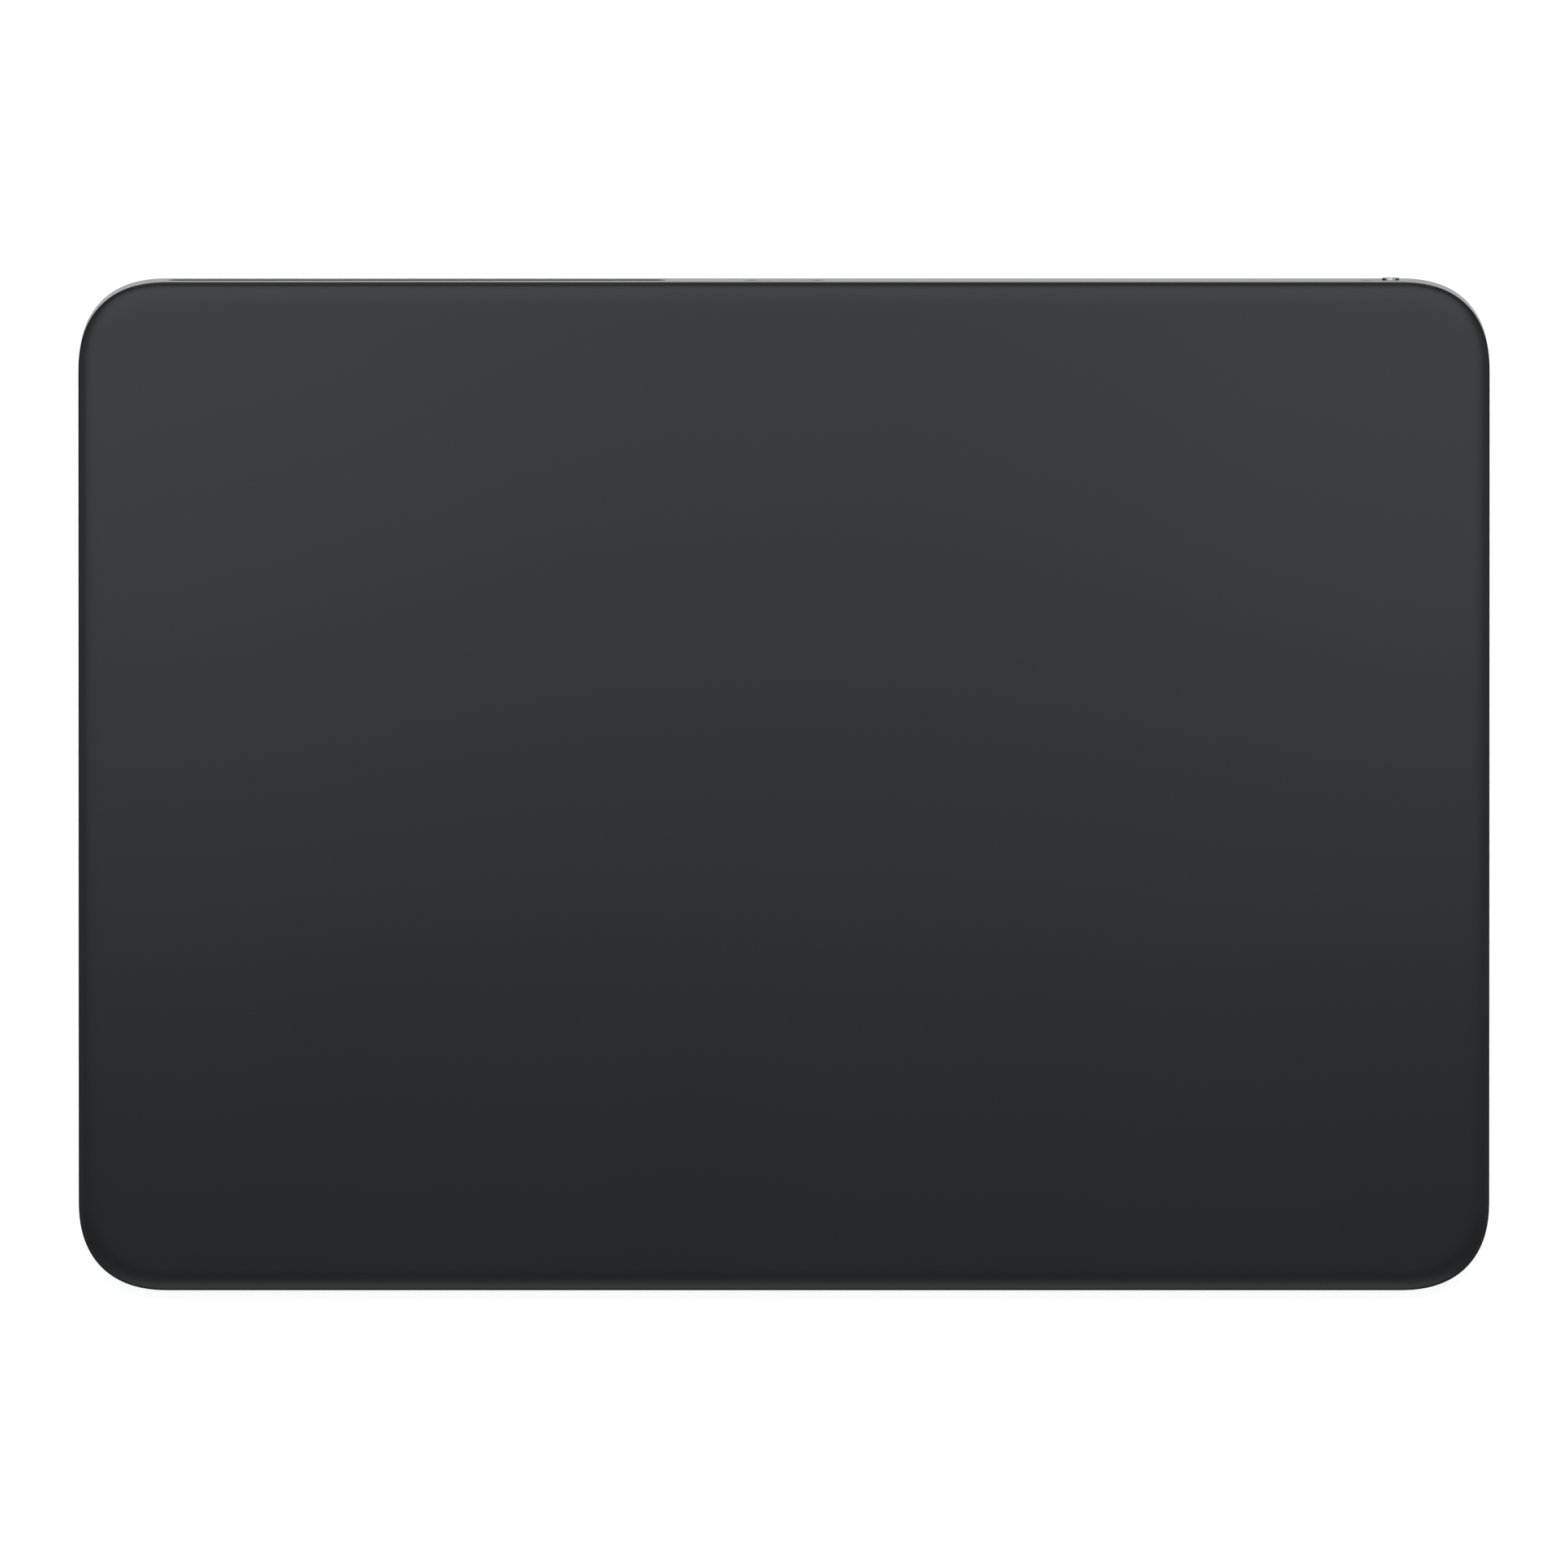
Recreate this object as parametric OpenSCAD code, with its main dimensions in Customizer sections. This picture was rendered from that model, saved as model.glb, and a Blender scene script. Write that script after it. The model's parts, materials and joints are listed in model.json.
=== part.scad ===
// A wedge-shaped desk trackpad: a glass touch plate floats on four sprung corners over a machined
// aluminium housing, and a haptic engine under its middle shakes it sideways when it is pressed.
// Millimetres. The desk is z = 0, +X is right, +Y is towards the rear edge.
// The deck is the plane of the glass. Deck depths are measured down from the glass's top face.

/* [Body] */
// Overall width
body_w = 160; // [150:1:180]
// Depth of the glass, measured along its slope
deck_d = 114.5; // [112:0.5:130]
// Height of the front edge above the desk
front_h = 4.9; // [4.7:0.1:6]
// Height of the rear edge above the desk
rear_h = 10.9; // [10.4:0.1:13]
// Reach of a corner's curve along each side that it joins
corner_reach = 10.36; // [9:0.02:13]
// Exponent of the corner's superellipse, where 2 is a circle
corner_power = 2.4; // [2:0.05:3]
// Thickness of the housing's wall
wall_t = 1.5; // [1.2:0.1:1.9]
// Thickness of the housing's floor
floor_t = 0.6; // [0.5:0.05:0.8]
// Radius of the housing's lower edge
bottom_round = 0.8; // [0.3:0.1:1.2]
// Chamfer along the top of the housing's wall
rim_chamfer = 0.2; // [0.1:0.05:0.4]

/* [Touch plate] */
// Thickness of the glass
glass_t = 1.1; // [0.9:0.05:1.3]
// Reach of the glass's rounded edge over its top face
glass_round_w = 2.4; // [0.6:0.1:3]
// Drop of the glass's rounded edge
glass_round_h = 0.55; // [0.4:0.05:0.85]
// Chamfer under the edge of the glass
glass_chamfer = 0.15; // [0.05:0.05:0.2]
// Gap between the glass and the top of the housing's wall
glass_gap = 0.3; // [0.25:0.05:0.6]
// Thickness of the film that bonds the glass to its sensor board
film_t = 0.15; // [0.1:0.05:0.3]
// Distance from the edge of the glass to that of the film and the sensor board
film_inset = 3; // [2.2:0.1:5]
// Thickness of the sensor board
sensor_board_t = 0.6; // [0.4:0.05:0.8]
// Thickness of the stiffener plate
stiffener_t = 0.4; // [0.3:0.05:0.6]
// Distance from the edge of the glass to that of the stiffener plate
stiffener_inset = 4.5; // [3:0.1:6]
// Width and depth of the stiffener's window round the sensor chips
chip_window = [46, 14];
// Distance from the front edge of the glass to the middle of that window
chip_window_from_front = 28.6; // [20:0.1:40]
// Height of the sensor chips
sensor_chip_h = 0.8; // [0.5:0.05:0.85]

/* [Suspension] */
// Travel of the glass when it is pressed
press_travel = 0.2; // [0.1:0.05:0.25]
// Clearance that is left inside at full press
inner_gap = 0.2; // [0.15:0.05:0.4]
// Thickness of the gel pads
gel_t = 0.5; // [0.4:0.05:0.7]
// Diameter of the gel pads
gel_d = 5; // [4:0.1:6]
// Height of the load buttons
button_t = 0.3; // [0.2:0.05:0.4]
// Diameter of the load buttons
button_d = 5.6; // [4:0.1:6.4]
// Thickness of the flexures
flexure_t = 0.4; // [0.3:0.05:0.6]
// Width of a flexure's two pads
flexure_w = 8; // [7:0.1:10]
// Width of a flexure's neck
flexure_neck_w = 4; // [3:0.1:6]
// Length of a flexure from its screws to its load point
flexure_l = 20; // [18:0.5:26]
// Distance from the side of the body to a flexure's screws
flexure_from_side = 7.5; // [7:0.1:10]
// Length of a flexure's screwed pad
flexure_pad_l = 9; // [7:0.1:10]
// Spacing of a flexure's two screws
flexure_screw_pitch = 4.8; // [4:0.1:6]
// Size of a strain gauge
gauge_size = [4, 2.6, 0.1];

/* [Underside] */
// Height that the feet stand out below the cover
foot_h = 0.5; // [0.4:0.05:0.8]
// Diameter of the feet
foot_d = 9; // [6:0.5:14]
// Depth of a foot's recess in the cover
foot_recess = 0.3; // [0.2:0.05:0.4]
// Distance from the sides of the body to the middle of a foot
foot_inset = 14; // [12:0.5:20]
// Rounding of a foot's lower edge
foot_round = 0.3; // [0.1:0.05:0.4]
// Thickness of the bottom cover
cover_t = 0.6; // [0.5:0.05:0.8]
// Distance from the housing's outline to the cover's recess
cover_inset = 2.4; // [2:0.1:4]
// Gap between the cover and its recess
cover_gap = 0.1; // [0.05:0.05:0.3]
// Thickness of the cover's adhesive
cover_glue_t = 0.1; // [0.05:0.05:0.2]
// Width of the cover's adhesive
cover_glue_w = 4; // [2:0.5:6]

/* [Rear wall] */
// Distance from the sides of the body to the antenna window and to the switch's slot
feature_from_side = 10.15; // [10:0.05:16]
// Length of the antenna window
antenna_l = 56.4; // [40:0.2:60]
// Height of the antenna window
antenna_h = 3.2; // [2:0.1:4]
// Lap of the window's flange behind the wall
antenna_lap = 1; // [0.6:0.1:1.4]
// Thickness of the window's flange
antenna_flange_t = 0.8; // [0.5:0.1:1]
// Depth and height of the antenna carrier
antenna_carrier_size = [2.6, 4.4];
// Distance from each end of the window to that of the carrier
antenna_carrier_end = 2.5; // [1:0.1:5]
// Distance from the carrier's end to the antenna's feed
antenna_feed_end = 6; // [4:0.1:12]
// Width of the port's shell
port_w = 8.94; // [7:0.02:10]
// Height of the port's shell
port_h = 3.26; // [2.6:0.02:3.6]
// Length of the port's shell
port_l = 7.35; // [6.5:0.05:9]
// Wall of the port's shell
port_wall = 0.3; // [0.2:0.05:0.4]
// Depth of the port's mouth behind the rear wall's face
port_recess = 0.3; // [0:0.05:0.6]
// Gap between the port's shell and the hole in the wall
port_gap = 0.12; // [0.1:0.01:0.3]
// Width, thickness and reach of the port's tongue
tongue_size = [6.69, 0.7, 5];
// Depth of the moulded block at the root of the tongue
tongue_block_d = 1.2; // [0.8:0.1:1.5]
// Contacts on each face of the tongue
contact_count = 12; // [4:1:12]
// Spacing of the contacts
contact_pitch = 0.5; // [0.45:0.01:0.53]
// Width, reach and height of a contact
contact_size = [0.25, 3.6, 0.06];
// Thickness of the saddle bracket over the port
bracket_t = 0.35; // [0.25:0.05:0.4]
// Distance from the port's middle to its bracket's screws
port_screw_x = 8.3; // [8:0.1:9]

/* [Power switch] */
// Length of the switch's slot
slot_l = 4.5; // [4:0.1:7]
// Height of the switch's slot
slot_h = 2.2; // [2:0.1:3]
// Diameter of the switch's knob
knob_d = 1.9; // [1.4:0.1:1.9]
// Height of the knob above the rear wall's face
knob_proud = 0.3; // [0.1:0.05:0.8]
// Crown of the knob's face
knob_crown = 0.04; // [0.02:0.01:0.2]
// Gap between the knob and each end of its slot
knob_end_gap = 0.1; // [0.05:0.05:0.3]
// Thickness of the slider behind the wall
slider_t = 0.6; // [0.4:0.05:0.8]
// Gap between the slider and the pieces before and behind it
slider_gap = 0.15; // [0.1:0.05:0.25]
// Lap of the slider round its slot
slider_lap = 0.5; // [0.3:0.1:0.8]
// Width, depth and height of the switch's body
switch_body_size = [8, 3.2, 3];
// Width, height and depth of the slider's peg
peg_size = [1.2, 1, 1];
// Thickness of the switch's board
switch_board_t = 0.6; // [0.4:0.05:0.8]
// Reach of the switch's board to the left and the right of its body
switch_board_ends = [3, 1.6];
// Reach of the switch's board beside the main board
switch_board_lap = 3.8; // [3.4:0.1:6]

/* [Electronics] */
// Width of the main board
board_w = 92; // [86:1:100]
// Depth of the main board
board_d = 20; // [19:0.5:22]
// Thickness of the main board
board_t = 0.8; // [0.6:0.05:1]
// Room between the main board and the rear wall
board_rear_gap = 5.2; // [5:0.1:7]
// Distance from the main board's sides to its screws
board_screw_inset = 4; // [3:0.1:5]
// Distances from the main board's front edge to its two rows of screws
board_screw_rows = [3, 13];
// Width, depth and height of the radio's shield can
shield_size = [18, 9.4, 1.5];
// Place of the shield can in x, and its distance from the main board's front edge
shield_at = [-29, 10.5];
// Width, depth and height of a chip capacitor
passive_size = [1, 0.5, 0.4];
// Distances from the main board's front edge to its two rows of capacitors
passive_rows = [5.5, 16];
// Place in x of the first capacitor of a row
passive_x = 8; // [6:0.1:10]
// Spacing of the capacitors
passive_pitch = 3; // [2:0.1:4]
// Thickness of the battery cells
battery_t = 2.6; // [2:0.1:3]
// Rounding of the cells' edges
battery_round = 0.7; // [0.3:0.1:0.9]
// Thickness of the cells' adhesive pads
battery_pad_t = 0.15; // [0.1:0.05:0.3]
// Clearance round a cell in its window
battery_gap = 0.6; // [0.4:0.1:1]
// Width of the housing's ledge beside a cell
side_ledge = 3; // [2:0.5:6]
// Depth and thickness of the cells' protection board
battery_board_size = [2.8, 0.6];
// Reach of the protection board past its outer tabs
battery_board_end = 3.5; // [1:0.1:5]
// Width of a cell's tabs
tab_w = 4; // [3:0.1:5]
// Spacing of a cell's two tabs
tab_pitch = 16; // [10:0.5:20]
// Thickness of the flexible ribbons
ribbon_t = 0.12; // [0.08:0.02:0.2]
// Depth and height of the board's connectors
connector_size = [3.4, 0.9];
// Distance from the main board's front edge to its connectors
connector_edge = 0.9; // [0.5:0.1:1.5]
// Place in x and width of each connector
battery_plug = [-30, 9];
haptic_plug = [0, 8];
sensor_plug = [30, 13];
// Distance from the main board's front edge to the middle of the touch plate's connector
sensor_plug_gap = 4.5; // [3.5:0.1:8]
// Margin of a ribbon inside its connector's width
ribbon_margin = 1; // [0.5:0.1:1.5]

/* [Haptic engine] */
// Number of legs on the core, each with its coil
leg_count = 4; // [4:1:4]
// Width of a leg
leg_w = 5; // [4:0.1:6]
// Spacing of the legs
leg_pitch = 9; // [8:0.1:10]
// Length of a leg
leg_l = 17; // [15:0.5:18]
// Depth of the bar that joins the legs
core_back_d = 5; // [3:0.5:5]
// Thickness of the core
core_t = 1.4; // [1:0.1:1.5]
// Thickness of a coil's winding
coil_wall = 0.6; // [0.4:0.05:0.7]
// Gap between a coil and its leg
coil_gap = 0.1; // [0.05:0.05:0.2]
// Length of a coil
coil_l = 13; // [10:0.5:14]
// Thickness of the engine's base
haptic_base_t = 0.4; // [0.3:0.05:0.6]
// Air gap between the core and the armature
air_gap = 0.35; // [0.3:0.05:0.6]
// Depth of the armature
armature_d = 3; // [2:0.1:5]
// Reach of the base beside the core
haptic_ear = 4; // [3.6:0.1:5]
// Reach of the base behind the core
haptic_base_lap = 3.5; // [3:0.1:5]
// Room between the base and the cells' protection board
haptic_rear_gap = 2.6; // [0.7:0.1:4]

/* [Screws] */
// Diameter of a screw's shank
screw_d = 1.2; // [1:0.1:1.4]
// Diameter of a screw's head
screw_head_d = 2.2; // [1.8:0.1:2.6]
// Height of a screw's head
screw_head_h = 0.4; // [0.3:0.05:0.4]
// Length of a screw below its head
screw_l = 1.3; // [1.1:0.05:1.4]
// Length of the main board's screws below their heads
board_screw_l = 2.4; // [2:0.1:3]
// Gap round a screw's shank
screw_gap = 0.05; // [0.03:0.01:0.1]
// Gap past a screw's tip
screw_tip_gap = 0.1; // [0.05:0.05:0.2]
// Diameter of the posts that take the screws
post_d = 3.4; // [3:0.1:4]

/* [Hidden] */
CORNERS = ["front_left", "front_right", "rear_left", "rear_right"];
CORNER_SIGNS = [[-1, -1], [1, -1], [-1, 1], [1, 1]];
$fn = 48;
// Points along one corner of an outline, and rings round an edge
corner_steps = 10;
edge_steps = 5;
// Points along one bend of a ribbon
bend_steps = 8;
// Overlap of a cutting shape past the face that it cuts
cut = 1;

// The deck: its slope, and the place of its middle above the desk
tilt = asin((rear_h - front_h) / deck_d);
deck_z = (front_h + rear_h) / 2;
base_z = foot_h;
wall_lean = (deck_z - base_z - bottom_round) * tan(tilt);
deck_y = -(deck_d / 2 * (1 / cos(tilt) - cos(tilt)) + wall_lean) / 2;

// Depths of the stack below the glass's top face
film_top = glass_t;
sensor_top = film_top + film_t;
sensor_under = sensor_top + sensor_board_t;
plate_under = sensor_under + stiffener_t;
button_top = plate_under + gel_t;
flexure_top = button_top + button_t;
flexure_under = flexure_top + flexure_t;
rim_depth = glass_t + glass_gap;
// No fixed piece stands higher than this
ceiling = plate_under + press_travel + inner_gap;

// Heights of the floor, and the rear wall's two faces and the middle of the rear side, glass and all
floor_under = base_z + cover_t + cover_glue_t;
floor_top = floor_under + floor_t;
rear_face = deck_d / 2;
rear_inside = rear_face - wall_t;
rear_line = (rear_h - base_z) / cos(tilt) / 2;
base_y = deck_y + (deck_z - base_z) * tan(tilt);

// The place along the slope at which a plane below the glass comes down to a height
function slope_at(z, depth) = (z - deck_z + depth * cos(tilt)) / sin(tilt);
// World places of points of the deck, and of the housing's wall at a given height
function deck_point(x, v, w) =
    [x, deck_y + v * cos(tilt) - w * sin(tilt), deck_z + v * sin(tilt) + w * cos(tilt)];
function deck_y_at(v, depth) = deck_point(0, v, -depth)[1];
function deck_v_at(y, depth) = (y - deck_y - depth * sin(tilt)) / cos(tilt);
function wall_point(x, v, z) = [x, deck_y + v / cos(tilt) - (z - deck_z) * tan(tilt), z];

// Flexures sit as far forward as the wedge leaves them room, and the rear pair mirrors the front pair
flexure_v = -slope_at(floor_top + press_travel + inner_gap, flexure_under) - flexure_w / 2;
flexure_x = body_w / 2 - flexure_from_side;
load_x = flexure_x - flexure_l;

// Main board, level with the middle of the rear side
board_top = rear_line - board_t / 2;
board_under = rear_line + board_t / 2;
board_rear = rear_inside - board_rear_gap;
board_front = board_rear - board_d;
board_screw_at = [for (sx = [-1, 1], row = board_screw_rows)
    [sx * (board_w / 2 - board_screw_inset), board_front + row]];
connector_front = board_front + connector_edge;
connector_rear = connector_front + connector_size[0];
connector_v = (connector_front + connector_rear) / 2;
connector_top = board_top - connector_size[1];
sensor_plug_v = board_front - sensor_plug_gap;
chip_window_v = -deck_d / 2 + chip_window_from_front;

// Depths of the haptic engine, which hangs its coils just under the ceiling
coil_h = core_t + 2 * (coil_gap + coil_wall);
core_w = (leg_count - 1) * leg_pitch + leg_w;
core_top = ceiling + coil_gap + coil_wall;
haptic_base_top = ceiling + coil_h;
haptic_base_under = haptic_base_top + haptic_base_t;
haptic_base_w = core_w + 2 * haptic_ear;
function leg_x(k) = (k - (leg_count - 1) / 2) * leg_pitch;

// Battery cells, between the engine and the sides, under the ceiling and clear of the flexures
cell_gap_to_board = 0.7;
cell_corner = 2.5;
engine_rib = 0.4;
battery_base = base_z + cover_t + battery_pad_t;
battery_top = battery_base + battery_t;
battery_x0 = haptic_base_w / 2 + engine_rib + battery_gap;
battery_x1 = body_w / 2 - wall_t - side_ledge - battery_gap;
battery_w = battery_x1 - battery_x0;
battery_front = max(deck_y_at(slope_at(battery_top, ceiling), ceiling),
    deck_y_at(-flexure_v + flexure_w / 2, flexure_under) + 2 * battery_gap);
battery_board_rear = deck_y_at(board_front, board_under) - cell_gap_to_board;
battery_board_front = battery_board_rear - battery_board_size[0];
battery_rear = battery_board_front - cell_gap_to_board;
battery_d = battery_rear - battery_front;
battery_mid = [(battery_x0 + battery_x1) / 2, (battery_front + battery_rear) / 2];
battery_board_top = floor_top + battery_board_size[1];

// Place of the haptic engine in front of the cells' board, with its front screws where the floor is
// deep enough under them
haptic_screw_inset = 1.7;
haptic_screw_end = 2.4;
haptic_base_rear = deck_v_at(battery_board_front - haptic_rear_gap, haptic_base_under);
haptic_back = haptic_base_rear - haptic_base_lap;
pole_v = haptic_back - core_back_d - leg_l;
haptic_screw_front = max(pole_v + haptic_screw_end,
    slope_at(floor_under + screw_tip_gap, haptic_base_top + screw_l + screw_tip_gap));
haptic_screw_at = [for (sx = [-1, 1], v = [haptic_screw_front, haptic_base_rear - haptic_screw_end])
    [sx * (haptic_base_w / 2 - haptic_screw_inset), v]];

// Port and antenna on the rear wall
port_mouth = rear_face - port_recess;
port_back = port_mouth - port_l;
tongue_root = port_back + port_wall;
horn_w = 22;
horn_wall_gap = 0.6;
horn_rear = rear_inside - horn_wall_gap;
port_screw_end = 1.9;
port_screw_at = [for (sx = [-1, 1]) [sx * port_screw_x, horn_rear - port_screw_end]];
antenna_x = -(body_w / 2 - feature_from_side - antenna_l / 2);
antenna_carrier_rear = rear_inside - antenna_flange_t;
antenna_carrier_front = antenna_carrier_rear - antenna_carrier_size[0];
antenna_carrier_l = antenna_l - 2 * antenna_carrier_end;
antenna_carrier_top = rear_line - antenna_carrier_size[1] / 2;
antenna_feed_x = antenna_x + antenna_carrier_l / 2 - antenna_feed_end;

// Power switch: the knob rests at the right-hand end of its slot
switch_x = body_w / 2 - feature_from_side - slot_l / 2;
switch_travel = slot_l - knob_d - 2 * knob_end_gap;
knob_x = switch_x + switch_travel / 2;
slider_l = slot_l + switch_travel + 2 * slider_lap;
slider_h = slot_h + 2 * slider_lap;
slider_rear = rear_inside - slider_gap;
slider_front = slider_rear - slider_t;
switch_body_rear = slider_front - slider_gap;
switch_board_setback = 0.2;
switch_board_top = rear_line + switch_body_size[2] / 2;
switch_board_under = switch_board_top + switch_board_t;
switch_board_rear = switch_body_rear - switch_board_setback;
switch_board_front = board_rear - switch_board_lap;
switch_board_left = switch_x - switch_body_size[0] / 2 - switch_board_ends[0];
switch_board_right = switch_x + switch_body_size[0] / 2 + switch_board_ends[1];
switch_screw_edge = 1.8;
switch_flex_room = 5;
switch_screw_at = [for (x = [switch_board_left + switch_flex_room, switch_board_right - switch_screw_edge])
    [x, switch_board_front + switch_screw_edge]];

// Feet near the corners of the underside
foot_x = body_w / 2 - foot_inset;
foot_y = deck_d / 2 - foot_inset;

// Outline of a rectangle whose corners follow a superellipse
function signed_power(b, e) = sign(b) * pow(abs(b), e);
function outline(w, d, reach, power = 2) = [
    for (q = [0:3], i = [0:corner_steps])
        let (a = 90 * (q + i / corner_steps),
             sx = [1, -1, -1, 1][q],
             sy = [1, 1, -1, -1][q])
        [sx * (w / 2 - reach) + reach * signed_power(cos(a), 2 / power),
         sy * (d / 2 - reach) + reach * signed_power(sin(a), 2 / power)]];
function deck_outline(inset) =
    outline(body_w - 2 * inset, deck_d - 2 * inset, corner_reach - inset, corner_power);
function base_outline(inset) =
    outline(body_w - 2 * inset, deck_d / cos(tilt) - 2 * inset, corner_reach - inset, corner_power);
function deck_ring(inset, depth) = [for (p = deck_outline(inset)) [p[0], p[1], -depth]];
function rim_ring(inset, depth) = [for (p = deck_outline(inset)) deck_point(p[0], p[1], -depth)];
function wall_ring(inset, z) = [for (p = deck_outline(inset)) wall_point(p[0], p[1], z)];

// Centre line of a ribbon, given a thickness
function ribbon_normal(path, i) =
    let (ahead = path[min(i + 1, len(path) - 1)],
         behind = path[max(i - 1, 0)],
         along = (ahead - behind) / norm(ahead - behind))
    [-along[1], along[0]];
function ribbon_side(path, offset) =
    [for (i = [0:len(path) - 1]) path[i] + offset * ribbon_normal(path, i)];
function reversed(list) = [for (i = [len(list) - 1:-1:0]) list[i]];
// An easy S-shaped bend from one point of a ribbon's path to another
function bend(from, to) = [for (k = [0:bend_steps])
    let (t = k / bend_steps)
    [from[0] + (to[0] - from[0]) * t, from[1] + (to[1] - from[1]) * (1 - cos(180 * t)) / 2]];

// Closed solid through a stack of rings, top ring first
module loft(rings) {
    n = len(rings[0]);
    last = (len(rings) - 1) * n;
    sides = [for (r = [0:len(rings) - 2], i = [0:n - 1])
        let (a = r * n + i, b = r * n + (i + 1) % n) each [[a, b, b + n], [a, b + n, a + n]]];
    top = [for (i = [n - 1:-1:0]) i];
    bottom = [for (i = [0:n - 1]) last + i];
    polyhedron(points = [for (ring = rings) each ring], faces = concat([top], sides, [bottom]));
}

// Moves its children into the deck's frame
module deck() {
    translate([0, deck_y, deck_z]) rotate([tilt, 0, 0]) children();
}

// Keeps what stands above a height
module above(z) {
    intersection() {
        children();
        translate([-body_w, -deck_d, z]) cube([2 * body_w, 2 * deck_d, 2 * rear_h]);
    }
}

// A flat layer of the deck, from one depth down to another
module layer(top, under) {
    translate([0, 0, -under]) linear_extrude(under - top) children();
}

// A box on the deck between two depths, centred on a point
module deck_box(at, size, top, under) {
    translate([at[0], at[1], 0]) layer(top, under) square(size, center = true);
}

// A shape drawn in x and height, extruded along the slope from one place to another
module along_slope(from, to) {
    translate([0, to, 0]) rotate([90, 0, 0]) linear_extrude(to - from) children();
}

// Section of a ribbon along its path
module ribbon(path) {
    polygon(concat(ribbon_side(path, ribbon_t / 2), reversed(ribbon_side(path, -ribbon_t / 2))));
}

// A ribbon whose path is drawn in slope and height, centred across x
module deck_ribbon(path, x, w) {
    translate([x - w / 2, 0, 0]) rotate([90, 0, 90]) linear_extrude(w) ribbon(path);
}

// A slot with round ends
module pill(l, h) {
    square([l - h, h], center = true);
    for (sx = [-1, 1]) translate([sx * (l - h) / 2, 0]) circle(d = h);
}

// A screw seated with its head's underside at a depth of the deck
module screw(at, seat, l) {
    socket_d = 1.1;
    socket_h = 0.2;
    translate([at[0], at[1], -seat]) difference() {
        union() {
            cylinder(d = screw_head_d, h = screw_head_h);
            translate([0, 0, -l]) cylinder(d = screw_d, h = l + screw_head_h / 2);
        }
        translate([0, 0, screw_head_h - socket_h]) cylinder(d = socket_d, h = socket_h + cut, $fn = 6);
    }
}

module screw_holes(places, seat, l) {
    for (at = places)
        translate([at[0], at[1], -seat - l - screw_tip_gap])
            cylinder(d = screw_d + 2 * screw_gap, h = l + screw_tip_gap + screw_head_h);
}

module posts(places, top) {
    for (at = places)
        translate([at[0], at[1], -top - rear_h]) cylinder(d = post_d, h = rear_h);
}

function flexure_screws_at(s) =
    [for (k = [-1, 1]) [s[0] * flexure_x, s[1] * flexure_v + k * flexure_screw_pitch / 2]];

// Outer form of the housing: walls square to the glass, a level underside and a rounded lower edge
module housing_form() {
    rim = [rim_ring(rim_chamfer, rim_depth), rim_ring(0, rim_depth + rim_chamfer)];
    foot = [for (k = [0:edge_steps])
        let (a = 90 * k / edge_steps)
        wall_ring(bottom_round * (1 - cos(a)), base_z + bottom_round * (1 - sin(a)))];
    loft(concat(rim, foot));
}

// Room inside the walls, down to the floor and to a bed for the haptic engine's base
module housing_pocket() {
    bed_gap = 0.2;
    above(floor_top) deck() layer(-cut, 2 * rear_h) polygon(deck_outline(wall_t));
    deck() deck_box([0, (pole_v + haptic_base_rear) / 2],
        [haptic_base_w + 2 * bed_gap, haptic_base_rear - pole_v + 2 * bed_gap], -cut, haptic_base_under);
}

// Pedestals under the flexures, and posts under the boards and the haptic engine
module housing_seats() {
    pedestal_margin = 0.5;
    above(floor_under) deck() {
        for (s = CORNER_SIGNS)
            deck_box([s[0] * flexure_x, s[1] * flexure_v],
                [flexure_pad_l + pedestal_margin, flexure_w + 2 * pedestal_margin],
                flexure_under, flexure_under + rear_h);
        posts(board_screw_at, board_under);
        posts(port_screw_at, board_under);
        posts(switch_screw_at, switch_board_under);
        posts(haptic_screw_at, haptic_base_under);
    }
}

// Openings in the floor under the cells and the haptic engine
module floor_windows() {
    window_round = 3;
    engine_w = haptic_base_w - 4 * haptic_screw_inset;
    engine_front = deck_y_at(pole_v, haptic_base_under) - armature_d - 2 * cut;
    engine_rear = deck_y_at(haptic_back, haptic_base_under);
    translate([0, 0, floor_under - cut]) linear_extrude(floor_t + 2 * cut) {
        for (sx = [-1, 1])
            translate([sx * battery_mid[0], battery_mid[1]])
                polygon(outline(battery_w + 2 * battery_gap, battery_d + 2 * battery_gap, window_round));
        translate([0, (engine_front + engine_rear) / 2])
            polygon(outline(engine_w, engine_rear - engine_front, window_round));
    }
}

// Openings in the rear wall, and the flats milled behind them
module rear_openings() {
    flat_margin = 0.5;
    flat_depth = 3;
    deck() translate([0, 0, -rear_line]) {
        along_slope(rear_inside - cut, rear_face + cut) {
            translate([antenna_x, 0]) pill(antenna_l, antenna_h);
            pill(port_w + 2 * port_gap, port_h + 2 * port_gap);
            translate([switch_x, 0]) pill(slot_l, slot_h);
        }
        along_slope(rear_inside - flat_depth, rear_inside) {
            translate([antenna_x, 0])
                square([antenna_l + 2 * (antenna_lap + flat_margin),
                    antenna_h + 2 * (antenna_lap + flat_margin)], center = true);
            translate([switch_x, 0])
                square([slider_l + switch_travel + 2 * flat_margin, slider_h + 2 * flat_margin],
                    center = true);
        }
    }
}

module housing() color("silver") difference() {
    union() {
        difference() {
            housing_form();
            housing_pocket();
        }
        housing_seats();
    }
    translate([0, base_y, base_z - cut]) linear_extrude(floor_under - base_z + cut)
        polygon(base_outline(cover_inset));
    floor_windows();
    rear_openings();
    deck() {
        for (s = CORNER_SIGNS) screw_holes(flexure_screws_at(s), flexure_top, screw_l);
        screw_holes(haptic_screw_at, haptic_base_top, screw_l);
        screw_holes(switch_screw_at, switch_board_top, screw_l);
        screw_holes(board_screw_at, board_top, board_screw_l);
        screw_holes(port_screw_at, board_top, board_screw_l);
    }
}

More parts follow.
